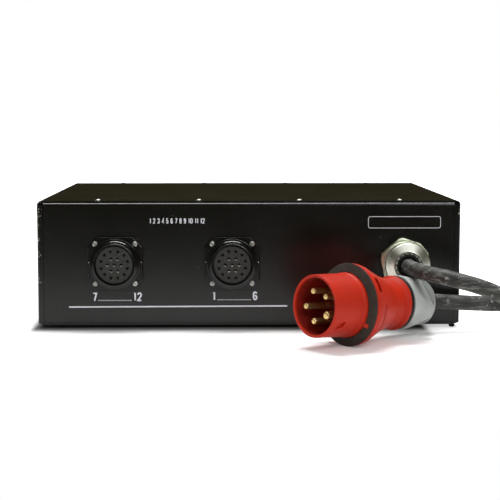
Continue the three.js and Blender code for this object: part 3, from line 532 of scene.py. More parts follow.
class Graph:
    """The nodes of one material or world, added and linked as they are made."""

    def __init__(self, owner: Owner) -> None:
        """Start with no nodes.

        Args:
            owner: the material or world.
        """
        owner.use_nodes = True
        self.owner = owner
        self.tree = owner.node_tree
        self.tree.nodes.clear()

    def node(self, kind: str, inputs: Mapping[Union[str, int], Value],
             **settings: Any) -> bpy.types.Node:
        """Add a node.

        Args:
            kind: the node's type, without the words that all types start with.
            inputs: a plain value or another node's socket for each input.
            **settings: the node's own options.

        Returns:
            The node.
        """
        made = self.tree.nodes.new("ShaderNode" + kind)
        for key, value in settings.items():
            setattr(made, key, value)
        for key, value in inputs.items():
            if isinstance(value, Socket):
                self.tree.links.new(value, made.inputs[key])
            else:
                made.inputs[key].default_value = value
        return made

    def place(self, space: str = "Object") -> Socket:
        """Return where the surface is sampled."""
        return self.node("TexCoord", {}).outputs[space]

    def scaled(self, place: Value, scale: Triple) -> Socket:
        """Stretch a place along the axes."""
        return self.node("Mapping", {"Vector": place, "Scale": scale}).outputs[0]

    def part(self, vector: Value, name: str) -> Socket:
        """Return one coordinate of a vector."""
        return self.node("SeparateXYZ", {"Vector": vector}).outputs[name]

    def mix(self, share: Value, first: Value, second: Value) -> Socket:
        """Mix two colours by a share."""
        return self.node("Mix", {0: share, 6: first, 7: second}, data_type="RGBA").outputs[2]

    def sum(self, operation: str, *values: Value) -> Socket:
        """Do arithmetic on up to three values."""
        return self.node("Math", dict(enumerate(values)), operation=operation).outputs[0]

    def vector(self, operation: str, *values: Value) -> bpy.types.Node:
        """Do arithmetic on vectors."""
        return self.node("VectorMath", dict(enumerate(values)), operation=operation)

    def between(self, value: Value, low: float, high: float, start: float = 0,
                end: float = 1) -> Socket:
        """Stretch the stretch from low to high of a value onto another stretch."""
        return self.node("MapRange", {
            "Value": value, "From Min": low, "From Max": high, "To Min": start, "To Max": end,
        }, interpolation_type="SMOOTHSTEP").outputs[0]

    def noise(self, place: Value, scale: float, detail: float = 3,
              roughness: float = 0.5) -> Socket:
        """Sample cloudy noise at a place."""
        return self.node("TexNoise", {"Vector": place, "Scale": scale, "Detail": detail,
                                      "Roughness": roughness}).outputs["Fac"]

    def rays(self) -> tuple[Socket, Socket]:
        """Tell rays apart.

        Returns:
            1 for a ray straight from the camera, and 1 for one that a surface mirrored or let in.
        """
        path = self.node("LightPath", {}).outputs
        return path["Is Camera Ray"], self.sum("MAXIMUM", path["Is Glossy Ray"],
                                               path["Is Transmission Ray"])

    def close(self, shader: Socket, kind: str = "OutputMaterial") -> Owner:
        """Send a shader to the output and return the material or world."""
        self.node(kind, {"Surface": shader})
        return self.owner


def solid(colour: Colour) -> tuple[float, float, float, float]:
    """Return a colour with full cover."""
    return (*colour, 1.0)


@dataclass
class Surface:
    """A surface in the making: its nodes, where it is sampled, its colour and roughness so far."""

    graph: Graph
    place: Value
    colour: Value
    rough: Value

    def cover(self, mask: Value, colour: Colour, rougher: float = 0) -> None:
        """Lay a colour over part of the surface.

        Args:
            mask: how much of it is covered.
            colour: the colour on top.
            rougher: what the cover adds to the roughness.
        """
        self.colour = self.graph.mix(mask, self.colour, solid(colour))
        if rougher:
            self.rough = self.graph.sum("MULTIPLY_ADD", mask, rougher, self.rough)


@dataclass(frozen=True)
class Finish:
    """A surface: its two colours, how they drift into each other, its gloss, grain and wear.

    Scales are in patches per metre, depths in metres, and colours in linear light.
    """

    name: str
    colour: Colour
    shade: Colour
    roughness: float = 0.5
    spread: float = 0.08
    patches: float = 45.0
    metallic: float = 0.0
    specular: float = 0.5
    coat: float = 0.0
    coat_roughness: float = 0.12
    grain: float = 2200.0
    grain_depth: float = 0.00003
    wave: float = 260.0
    wave_depth: float = 0.0
    scuff: float = 0.0
    scuff_colour: Colour = (0.3, 0.3, 0.28)
    scuff_scale: float = 120.0
    stretch: Triple = (1.0, 1.0, 1.0)

    def build(self) -> bpy.types.Material:
        """Make the material.

        Returns:
            A material that takes its colour, gloss and bump from noise in the pack's own space.
        """
        graph = Graph(bpy.data.materials.new(self.name))
        place = graph.place()
        stretched = graph.scaled(place, self.stretch)
        drift = graph.noise(stretched, self.patches, 5, 0.6)
        colour = graph.mix(graph.between(drift, 0.35, 0.65), solid(self.colour), solid(self.shade))
        rough = graph.between(drift, 0.3, 0.7, self.roughness - self.spread,
                              self.roughness + self.spread)
        surface = Surface(graph, stretched, colour, rough)
        self.wear(surface)
        height = graph.sum("MULTIPLY", graph.noise(stretched, self.grain, 4), self.grain_depth)
        if self.wave_depth:
            broad = graph.noise(place, self.wave, 2)
            height = graph.sum("MULTIPLY_ADD", broad, self.wave_depth, height)
        normal = graph.node("Bump", {"Height": height, "Strength": 1.0, "Distance": 1.0})
        shader = graph.node("BsdfPrincipled", {
            "Base Color": surface.colour, "Roughness": surface.rough, "Normal": normal.outputs[0],
            "Metallic": self.metallic, "Specular IOR Level": self.specular,
            "Coat Weight": self.coat, "Coat Roughness": self.coat_roughness,
            **self.light(surface)})
        return graph.close(shader.outputs[0])

    def wear(self, surface: Surface) -> None:
        """Rub the surface where it has been handled.

        Args:
            surface: the surface so far.
        """
        if self.scuff:
            cloud = surface.graph.noise(surface.place, self.scuff_scale, 9, 0.68)
            mask = surface.graph.between(cloud, 0.66 - 0.12 * self.scuff, 0.8 - 0.1 * self.scuff)
            mask = surface.graph.sum("MULTIPLY", mask, min(1.0, 0.4 + self.scuff))
            surface.cover(mask, self.scuff_colour, 0.25)

    def light(self, surface: Surface) -> Mapping[str, Value]:
        """Return what lights the surface from within: nothing."""
        return {}


@dataclass(frozen=True)
class LampFinish(Finish):
    """A surface that glows, as a digit of the display does."""

    glow: float = 2.0

    def light(self, surface: Surface) -> Mapping[str, Value]:
        """Return the glow, which has the surface's own colour."""
        return {"Emission Color": surface.colour, "Emission Strength": self.glow}


@dataclass(frozen=True)
class SheathFinish(Finish):
    """A cord's rubber sheath: long rubbed streaks and a few pale knocks."""

    along: Triple = (0.16, 0.8, 1.3)
    streak_colour: Colour = (0.15, 0.155, 0.14)
    knock_colour: Colour = (0.36, 0.37, 0.35)

    def wear(self, surface: Surface) -> None:
        """Add the streaks and the knocks.

        Args:
            surface: the surface so far.
        """
        graph, place = surface.graph, surface.place
        thin = graph.scaled(place, self.along)
        streaks = graph.sum("MULTIPLY", graph.between(graph.noise(thin, 210, 6, 0.62), 0.44, 0.64),
                            graph.between(graph.noise(place, 34, 3), 0.36, 0.6))
        surface.cover(streaks, self.streak_colour, 0.14)
        knocks = graph.sum("MULTIPLY", graph.between(graph.noise(place, 150, 8, 0.72), 0.57, 0.66),
                           graph.between(graph.noise(place, 24, 2), 0.43, 0.55))
        surface.cover(knocks, self.knock_colour)


@dataclass(frozen=True)
class PaintFinish(Finish):
    """The case's paint: specks of dust in it, and bare chips round given corners."""

    chips: tuple[Triple, ...] = ()
    chip_reach: float = 0.012
    chip_colour: Colour = (0.42, 0.41, 0.36)
    speck_scale: float = 95.0
    speck_size: float = 0.052
    speck_share: float = 0.14
    speck_colour: Colour = (0.085, 0.083, 0.075)

    def wear(self, surface: Surface) -> None:
        """Add the specks and the chips.

        Args:
            surface: the surface so far.
        """
        graph, place = surface.graph, surface.place
        cells = graph.node("TexVoronoi", {"Vector": place, "Scale": self.speck_scale,
                                          "Randomness": 1.0}).outputs
        near = graph.between(cells["Distance"], self.speck_size, self.speck_size * 0.6)
        seldom = graph.node("SeparateColor", {"Color": cells["Color"]}).outputs[0]
        picked = graph.sum("GREATER_THAN", seldom, 1 - self.speck_share)
        surface.cover(graph.sum("MULTIPLY", near, picked), self.speck_colour, 0.2)
        flakes = graph.noise(place, 420.0, 6, 0.7)
        for chip in self.chips:
            away = graph.vector("DISTANCE", place, chip).outputs["Value"]
            reach = graph.between(away, self.chip_reach, 0, 0, 0.22)
            mask = graph.between(graph.sum("ADD", flakes, reach), 0.72, 0.76)
            surface.cover(mask, self.chip_colour)


def at(x: float, y: float, z: float) -> Triple:
    """Return a point of the drawing in metres of the shared frame."""
    return (x * MM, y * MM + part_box("base_tray")[0].y, z * MM)


class Workshop:
    """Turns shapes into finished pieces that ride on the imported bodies."""

    def __init__(self, frame: Mapping[str, Any]) -> None:
        """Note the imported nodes, and where the drawing's origin lies in the shared frame.
        """
        self.nodes = frame["nodes"]
        self.to_frame = Matrix.Translation(at(0, 0, 0)) @ Matrix.Scale(MM, 4)

    @cache
    def material(self, finish: Finish) -> bpy.types.Material:
        """Return the finish's material, which is made only once."""
        return finish.build()

    def piece(self, name: str, shape: Shape, finish: Finish, slot: str, node: str = "",
              body: str = "pack", smooth: float = 32) -> None:
        """Make one visible piece.

        Args:
            name: the piece's name.
            shape: its solids in the drawing's millimetres.
            finish: its surface.
            slot: the record's material slot it belongs to.
            node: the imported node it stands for, if it stands for one.
            body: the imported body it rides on.
            smooth: degrees up to which an edge is shaded round.
        """
        mesh = shape.to_mesh(name)
        mesh.transform(self.to_frame)
        mesh.shade_smooth()
        mesh.set_sharp_from_angle(angle=math.radians(smooth))
        mesh.materials.append(self.material(finish))
        thing = shown(name, mesh)
        thing.modifiers.new("even_shading", "WEIGHTED_NORMAL").keep_sharp = True
        self.fix(thing, slot, body, *filter(None, [node]))
        LOG.info("%s: %d faces on %s", name, len(mesh.polygons), body)

    def fix(self, thing: bpy.types.Object, slot: str, body: str, *nodes: str) -> None:
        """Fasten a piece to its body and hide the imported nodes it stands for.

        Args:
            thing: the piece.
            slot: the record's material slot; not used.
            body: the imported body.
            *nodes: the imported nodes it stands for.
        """
        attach(thing, body)
        if nodes:
            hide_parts(*nodes)

    def dress(self, finish: Finish, *nodes: str) -> None:
        """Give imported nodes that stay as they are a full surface.

        Args:
            finish: the surface.
            *nodes: the nodes' names.
        """
        for name in nodes:
            mesh = self.nodes[name].data
            mesh.materials.clear()
            mesh.materials.append(self.material(finish))
            LOG.info("%s: kept, in %s", name, finish.name)


@dataclass
class SubAssembly:
    """A group of pieces that a workshop makes."""

    shop: Workshop


PAINT = PaintFinish(
    "satin_black_paint", (0.0036, 0.0037, 0.0027), (0.0044, 0.0044, 0.0033), roughness=0.255,
    spread=0.02, patches=14, specular=0.42, grain=900, grain_depth=0.000003, wave=120,
    wave_depth=0.000014, chip_reach=0.01,
    chips=((-0.2208, -0.1696, 0.126), (-0.2208, -0.1696, 0.118), (-0.2208, -0.1696, 0.109),
           (-0.221, -0.169, 0.094), (-0.221, -0.169, 0.078), (-0.221, -0.169, 0.052),
           (0.221, -0.169, 0.121), (-0.219, -0.1675, 0.1335)))
SHELL_BLACK = Finish(
    "black_socket_shell", (0.0045, 0.0045, 0.004), (0.007, 0.007, 0.006), roughness=0.14,
    spread=0.03, specular=0.4, patches=90, grain=1500, grain_depth=0.000002, scuff=0.05,
    scuff_colour=(0.03, 0.03, 0.028))
FLANGE_BLACK = Finish(
    "black_socket_flange", (0.0045, 0.0045, 0.004), (0.006, 0.006, 0.005), roughness=0.2,
    spread=0.03, specular=0.33, patches=90, grain=1500, grain_depth=0.000003, scuff=0.05,
    scuff_colour=(0.03, 0.03, 0.028))
INSERT_GREY = Finish(
    "dark_grey_contact_insert", (0.028, 0.028, 0.025), (0.036, 0.036, 0.032), roughness=0.75,
    patches=200, specular=0.25, grain=3200, grain_depth=0.00005, scuff=0.1,
    scuff_colour=(0.07, 0.07, 0.065))
CONTACT = Finish(
    "silvered_contact", (0.86, 0.84, 0.76), (0.7, 0.68, 0.6), roughness=0.34, metallic=1,
    patches=900)
SCREW = Finish(
    "dull_bright_screw", (0.62, 0.62, 0.58), (0.44, 0.44, 0.4), roughness=0.38, spread=0.12,
    metallic=1, patches=500, grain=4000)
NICKEL = Finish(
    "nickel_plate", (0.82, 0.84, 0.75), (0.72, 0.74, 0.64), roughness=0.31, spread=0.04,
    metallic=1, patches=50, grain=3000, grain_depth=0.000003, scuff=0.02,
    scuff_colour=(0.5, 0.48, 0.4), scuff_scale=320)
OLD_NICKEL = Finish(
    "tinted_nickel", (0.82, 0.88, 0.72), (0.7, 0.77, 0.56), roughness=0.36, spread=0.09,
    metallic=1, patches=110, grain=2600, grain_depth=0.00002, scuff=0.2,
    scuff_colour=(0.62, 0.6, 0.5), scuff_scale=240)
RUBBER = Finish(
    "black_rubber", (0.012, 0.012, 0.011), (0.02, 0.02, 0.018), roughness=0.72, patches=160,
    specular=0.35, grain=2600, grain_depth=0.00005, scuff=0.1, scuff_colour=(0.06, 0.06, 0.055))
GASKET = Finish(
    "dark_gasket_rubber", (0.03, 0.024, 0.018), (0.044, 0.034, 0.026), roughness=0.8, patches=120,
    specular=0.25, grain=2400, grain_depth=0.00006)
CORD = SheathFinish(
    "grey_black_cord_sheath", (0.015, 0.0155, 0.013), (0.032, 0.033, 0.028), roughness=0.56,
    spread=0.08, patches=30, specular=0.36, grain=1800, grain_depth=0.00004, wave=80,
    wave_depth=0.00012)
PLUG_RED = Finish(
    "red_plug_moulding", (0.47, 0.02, 0.0055), (0.41, 0.018, 0.005), roughness=0.46, spread=0.06,
    patches=40, specular=0.2, grain=1500, grain_depth=0.00002, wave=150, wave_depth=0.00005,
    scuff=0.08, scuff_colour=(0.6, 0.16, 0.1), scuff_scale=160)
# Painted shade: a darker red for the lining of the plug's cavity, standing in for the shade inside
# the shroud.
PLUG_SHADE_LINING = Finish(
    "painted_shade_red_moulding", (0.24, 0.012, 0.006), (0.18, 0.01, 0.005), roughness=0.5, patches=60,
    specular=0.3, grain=1500)
SEAL_BLACK = Finish(
    "plain_black_rubber", (0.004, 0.004, 0.004), (0.007, 0.007, 0.0065), roughness=0.6,
    patches=160, specular=0.25, grain=2600)
PLUG_GREY = Finish(
    "grey_clamp_nut", (0.4, 0.42, 0.4), (0.34, 0.36, 0.345), roughness=0.46, spread=0.07,
    patches=60, specular=0.4, grain=1700, grain_depth=0.00003, scuff=0.2,
    scuff_colour=(0.2, 0.2, 0.19), scuff_scale=110)
BRASS = Finish(
    "plug_pin_brass", (0.84, 0.63, 0.28), (0.7, 0.5, 0.2), roughness=0.33, spread=0.07,
    metallic=0.9, patches=220, grain=3500, grain_depth=0.00001)
PRINT_WHITE = Finish(
    "white_screen_print", (0.73, 0.73, 0.79), (0.64, 0.64, 0.7), roughness=0.6, patches=600,
    specular=0.3, grain=5000)
BREAKER = Finish(
    "white_breaker_moulding", (0.68, 0.68, 0.64), (0.6, 0.6, 0.56), roughness=0.42, patches=40,
    grain=1500, grain_depth=0.00003)
LEVER = Finish(
    "blue_breaker_lever", (0.012, 0.04, 0.2), (0.01, 0.032, 0.15), roughness=0.38, patches=120,
    grain=2000)
ZINC = Finish(
    "zinc_plated_steel", (0.55, 0.56, 0.57), (0.42, 0.43, 0.44), roughness=0.34, spread=0.1,
    metallic=1, patches=90, grain=2600, stretch=(1, 1, 4))
BOARD = Finish(
    "green_circuit_board", (0.012, 0.085, 0.03), (0.016, 0.11, 0.04), roughness=0.4, patches=80,
    coat=0.3, grain=1200, grain_depth=0.00004)
DISPLAY = Finish(
    "dark_display_window", (0.02, 0.004, 0.004), (0.026, 0.005, 0.005), roughness=0.12,
    spread=0.03, coat=0.5, grain_depth=0.000004)
DIGIT = LampFinish("lit_red_digit", (0.9, 0.05, 0.03), (0.8, 0.04, 0.02), glow=1.6, patches=800)
FAN_BLACK = Finish(
    "black_fan_moulding", (0.014, 0.014, 0.014), (0.02, 0.02, 0.02), roughness=0.45, patches=60,
    grain=1600, grain_depth=0.00004)
ALUMINIUM = Finish(
    "extruded_aluminium", (0.62, 0.63, 0.64), (0.5, 0.51, 0.52), roughness=0.38, spread=0.08,
    metallic=1, patches=60, grain=2400, stretch=(1, 0.1, 1))
COPPER = Finish(
    "enamelled_copper_wire", (0.5, 0.17, 0.06), (0.38, 0.12, 0.045), roughness=0.28, metallic=1,
    patches=300, coat=0.4)
CORE_GREY = Finish(
    "grey_choke_core", (0.12, 0.13, 0.13), (0.09, 0.1, 0.1), roughness=0.6, patches=200)


UPWARD = spun(-90, "X")
BACKWARD = spun(180, "Z")
LEFTWARD = spun(-90, "Z")
RIGHTWARD = spun(90, "Z")
SIDES = (-1, 1)


@dataclass(frozen=True)
class Screw:
    """A pan-head screw with a cross recess."""

    radius: float = 2.8
    height: float = 1.9
    arm: float = 0.72
    reach: float = 1.75
    recess: float = 1.3

    def head(self) -> Shape:
        """Make a head.

        Returns:
            A head that stands on Y 0 and faces -Y.
        """
        rim, dome = self.height * 0.45, self.radius * 0.55
        flat = self.height / (rim + dome)
        profile = [(0, 0.4), (self.radius, 0.4)]
        profile += [(r, -(rim + y) * flat) for r, y in arc((self.radius * 0.45, 0), dome, 0, 90)]
        low = profile[-1][1] * 1.03
        arm, reach = self.arm, self.reach
        cross, quarter = [], [(arm, arm), (reach, arm), (reach, -arm)]
        for _ in range(4):
            cross += quarter
            quarter = [(z, -x) for x, z in quarter]
        pit = turned([(0, 0.2), (arm * 1.8, low + 0.02), (arm * 1.8, low - 1), (0, low - 1)], 16)
        head = combined(turned([*profile, (0, low)], 28), slab(cross, low - 1, low + self.recess))
        return carved(head, pit)

    def row(self, places: Iterable[tuple[float, ...]],
            facing: Matrix = Matrix.Identity(4)) -> Shape:
        """Set a head in each of a row of holes.

        Args:
            places: x, y and z of each seat, and the degrees that its recess is turned.
            facing: the turn from -Y to the way that the heads look.

        Returns:
            The heads.
        """
        head = self.head()
        return joined(head.placed(Matrix.Translation(place) @ facing @ spun(spin))
                      for *place, spin in places)


@dataclass(frozen=True)
class Layout:
    """Where the panels carry their parts."""

    half_width: float = 221.0
    panel_half: float = 214.2
    depth: float = 360.0
    bottom: float = 3.5
    top: float = 133.5
    middle: float = 68.5
    sheet: float = 1.5
    sockets: Pair = (-139.6, -17.8)
    gland: float = 163.0
    fan: float = 160.0
    breaker_left: float = -203.0
    breaker_pitch: float = 17.7
    breakers: int = 12
    board_middle: float = 65.0
    display_z: float = 106.0
    button_z: float = 86.0
    data_z: float = 46.0
    buttons: tuple[float, ...] = (41.0, 57.0, 73.0, 89.0)
    inlet: float = 87.0
    outlet: float = 43.0
    print_face: float = 0.09
    print_sunk: float = 0.3


LAYOUT = Layout()
MIDDLE = LAYOUT.middle
REAR_PRINT = (LAYOUT.depth + LAYOUT.print_face, LAYOUT.depth - LAYOUT.print_sunk)


@dataclass
class Case(SubAssembly):
    """The folded steel case: a tray with both panels, a cover with the sides, feet and screws."""

    bend: float = 3.0
    low_bend: float = 1.7
    crease: Triple = (6.3, 7.1, 0.8)
    cover_bend: float = 4.0
    side_reach: Pair = (5.2, 129.5)
    setback: float = 3.2
    lip_setback: float = 1.0
    lip_width: float = 6.3
    tray_top: float = 131.7
    return_depth: float = 14.0
    flange: float = 14.0
    flange_bend: float = 1.5
    flange_inset: float = 6.0
    slide: float = 0.4
    foot_radius: float = 3.2
    foot_top: float = 3.2
    foot_round: float = 1.8
    foot_x: float = 214.0
    foot_inset: float = 7.0
    vent_first: float = 210.0
    vent_pitch: float = 10.0
    vent_width: float = 3.0
    vent_height: float = 44.0
    vents: int = 9
    screw_xs: tuple[float, ...] = (-157.5, -52.5, 52.5, 157.5)
    screw_ys: Triple = (40, 180, 320)
    screw_inset: float = 7.0
    screw_z: float = 11.0
    overrun: float = 3.0
    socket_hole: float = 22.0
    gland_hole: float = 20.4
    breaker_hole: float = 22.9
    display_hole: Triple = (46.8, 17.8, 1.0)
    button_hole: float = 3.9
    data_hole: float = 12.2
    fan_hole: float = 44.0

    def holes(self) -> list[Shape]:
        """Shape what is cut out of the tray: its crease and the holes of both panels.

        Returns:
            The solids to cut with.
        """
        front = (-self.overrun, LAYOUT.sheet + self.overrun)
        rear = (LAYOUT.depth - front[1], LAYOUT.depth + self.overrun)
        left, wide = LAYOUT.breaker_left, LAYOUT.breakers * LAYOUT.breaker_pitch
        wall = LAYOUT.panel_half + 1
        display = (LAYOUT.board_middle, LAYOUT.display_z)
        data = (LAYOUT.inlet, LAYOUT.outlet)
        return [block((-wall, wall), (-1, self.crease[2]), self.crease[:2]),
                *(rod(self.socket_hole, *front, (x, MIDDLE), 64) for x in LAYOUT.sockets),
                rod(self.gland_hole, *front, (LAYOUT.gland, MIDDLE), 64),
                block((left - self.slide, left + wide + self.slide), rear,
                      (MIDDLE - self.breaker_hole, MIDDLE + self.breaker_hole)),
                slab(rounded(*self.display_hole, display), *rear),
                *(rod(self.button_hole, *rear, (x, LAYOUT.button_z), 32) for x in LAYOUT.buttons),
                *(rod(self.data_hole, *rear, (x, LAYOUT.data_z), 48) for x in data),
                rod(self.fan_hole, *rear, (LAYOUT.fan, MIDDLE), 96)]

    def tray(self) -> Shape:
        """Fold the tray, cut its panels and add the angles that the cover is screwed to.

        Returns:
            The tray.
        """
        high, low, depth, back = self.tray_top, LAYOUT.bottom, LAYOUT.depth, self.return_depth
        half, thick, bend = LAYOUT.panel_half, LAYOUT.sheet, self.flange_bend
        edge = folded([(back, high), (0, high), (0, low), (depth, low), (depth, high),
                       (depth - back, high)],
                      thick, (self.bend, self.low_bend, self.low_bend, self.bend))
        outer = LAYOUT.half_width - thick - 0.3
        angle = [(half - 0.4, low + 0.01), (outer - bend, low + 0.01),
                 *arc((outer - bend, low + bend + 0.01), bend, -90, 0, 4)[1:],
                 (outer, low + self.flange), (outer - thick, low + self.flange),
                 (outer - thick, low + thick), (half - 0.4, low + thick)]
        ends = (self.flange_inset, depth - self.flange_inset)
        angles = joined(slab([(side * x, z) for x, z in angle], *ends) for side in SIDES)
        return carved(slab(edge, -half, half, Axis.X), *self.holes()).add(angles)

    def cover(self) -> Shape:
        """Fold the cover, join its sides and cut the vents.

        Returns:
            The cover.
        """
        half, top, depth = LAYOUT.half_width, LAYOUT.top, LAYOUT.depth
        leg = top - self.flange
        over = slab(folded([(half, leg), (half, top), (-half, top), (-half, leg)],
                           LAYOUT.sheet, (self.cover_bend, self.cover_bend)),
                    self.setback, depth - self.setback)
        inner, front = half - self.lip_width, self.lip_setback
        wall = slab(folded([(inner, front), (half, front), (half, depth - front),
                            (inner, depth - front)], LAYOUT.sheet, (self.bend, self.bend)),
                    *self.side_reach, Axis.Z)
        mirror = Matrix.Scale(-1, 4, Vector((1, 0, 0)))
        slots = []
        for i in range(self.vents):
            y = self.vent_first + i * self.vent_pitch + self.vent_width / 2
            outline = rounded(self.vent_width, self.vent_height, self.vent_width / 2 - 0.01,
                              (y, MIDDLE), 4)
            slots += [slab(outline, side * half - self.overrun, side * half + self.overrun, Axis.X)
                      for side in SIDES]
        return carved(combined(over, joined((wall, wall.placed(mirror))), Cut.WITH), *slots)

    def foot(self) -> Shape:
        """Turn a rubber foot.

        Returns:
            A foot that stands on the floor.
        """
        flat = self.foot_radius - self.foot_round
        edge = arc((flat, self.foot_round), self.foot_round, -90, 28, 7)
        return turned([(0, 0), (flat, 0), *edge, (self.foot_radius - 0.9, self.foot_top),
                       (0, self.foot_top)], 32).placed(spun(90, "X"))

    def painted_screws(self) -> Shape:
        """Set the low painted screws along the cover's rear edge and down its sides.

        Returns:
            The screws.
        """
        screw = Screw(2.9, 0.55, recess=0.35)
        y, z, half = LAYOUT.depth - self.screw_inset, self.screw_z, LAYOUT.half_width
        rear = [(x, y, LAYOUT.top, spin) for x, spin in zip(self.screw_xs, (40, 8, 61, 25))]
        return joined((screw.row(rear, UPWARD),
                       screw.row([(-half, y, z, y) for y in self.screw_ys], LEFTWARD),
                       screw.row([(half, y, z, y + 20) for y in self.screw_ys], RIGHTWARD)))

    def build(self) -> None:
        """Make the case's pieces."""
        piece, foot = self.shop.piece, self.foot()
        piece("case_tray", self.tray(), PAINT, "case_paint", "base_tray")
        piece("case_cover", self.cover(), PAINT, "case_paint", "top_cover")
        for row, y in (("front", self.foot_inset), ("rear", LAYOUT.depth - self.foot_inset)):
            for column, side in zip(("left", "right"), SIDES):
                name = f"foot_{row}_{column}"
                piece(f"rubber_{name}", foot.moved(side * self.foot_x, y, 0), RUBBER,
                      "rubber_black", name)
        bright = Screw(2.9, 1.7, recess=1.0).row(
            [(x, self.screw_inset, LAYOUT.top, spin)
             for x, spin in zip(self.screw_xs, (12, 50, 75, 31))], UPWARD)
        piece("cover_front_screws", bright, SCREW, "zinc_steel")
        piece("cover_painted_screws", self.painted_screws(), SHELL_BLACK, "case_paint")


@dataclass
class FrontPrint(SubAssembly):
    """The white print on the socket panel: channel numbers, leaders and the long rule."""

    depth: Pair = (-LAYOUT.print_face, LAYOUT.print_sunk)
    tall: float = 9.3
    dot: float = 0.6
    dots: int = 15
    header_height: float = 5.6
    header_low: float = 110.2
    header_left: float = -103.6
    header_gap: float = 2.05
    header_width_share: float = 0.67
    numbers: tuple[tuple[str, float, float, float], ...] = (
        ("7", -163.6, -158.9, 28.7), ("12", -121.2, -112.2, 28.9),
        ("1", -38.6, -35.4, 29.3), ("6", 3.7, 8.5, 29.5))
    leaders: tuple[Triple, ...] = ((-156.9, -124.0, 29.7), (-32.5, 0.9, 30.1))
    rule: tuple[Pair, ...] = ((-188.5, 22.1), (39.8, 22.7), (39.8, 24.2), (-188.5, 23.6))
    field_middle: Pair = (162.0, 111.2)
    field_size: Pair = (76.0, 12.5)
    field_corner: float = 2.4
    field_line: float = 0.6

    def header(self) -> Shape:
        """Print a plain row of the channels' numbers over the sockets.

        Returns:
            The row.
        """
        made = Shape()
        left, tall, low = self.header_left, self.header_height, self.header_low
        for text in map(str, range(1, LAYOUT.breakers + 1)):
            right = left + DIGITS.width(text) * tall * self.header_width_share
            made.add(DIGITS.write(text, (left, right), (low, low + tall), self.depth))
            left = right + self.header_gap
        return made

    def write_on_field(self) -> Shape:
        """Print the outline of a blank field to write on, at the right.

        Returns:
            The outline.
        """
        outer, inner = (rounded(self.field_size[0] - 2 * by, self.field_size[1] - 2 * by,
                                self.field_corner - by, self.field_middle)
                        for by in (0, self.field_line))
        rings = [[Vector((x, y, z)) for y, (x, z) in
                  ((self.depth[0], out), (self.depth[0], into), (self.depth[1], into),
                   (self.depth[1], out))] for out, into in zip(outer, inner)]
        return lofted(rings, True)

    def build(self) -> None:
        """Make the print as one thin piece."""
        numbers = [DIGITS.write(text, (left, right), (low, low + self.tall), self.depth)
                   for text, left, right, low in self.numbers]
        dots = [rod(self.dot, *self.depth, (left + (right - left) * i / (self.dots - 1), z), 12)
                for left, right, z in self.leaders for i in range(self.dots)]
        made = joined((*numbers, *dots, slab(self.rule, *self.depth), self.header(),
                       self.write_on_field()))
        self.shop.piece("panel_print", made, PRINT_WHITE, "case_paint", smooth=20)


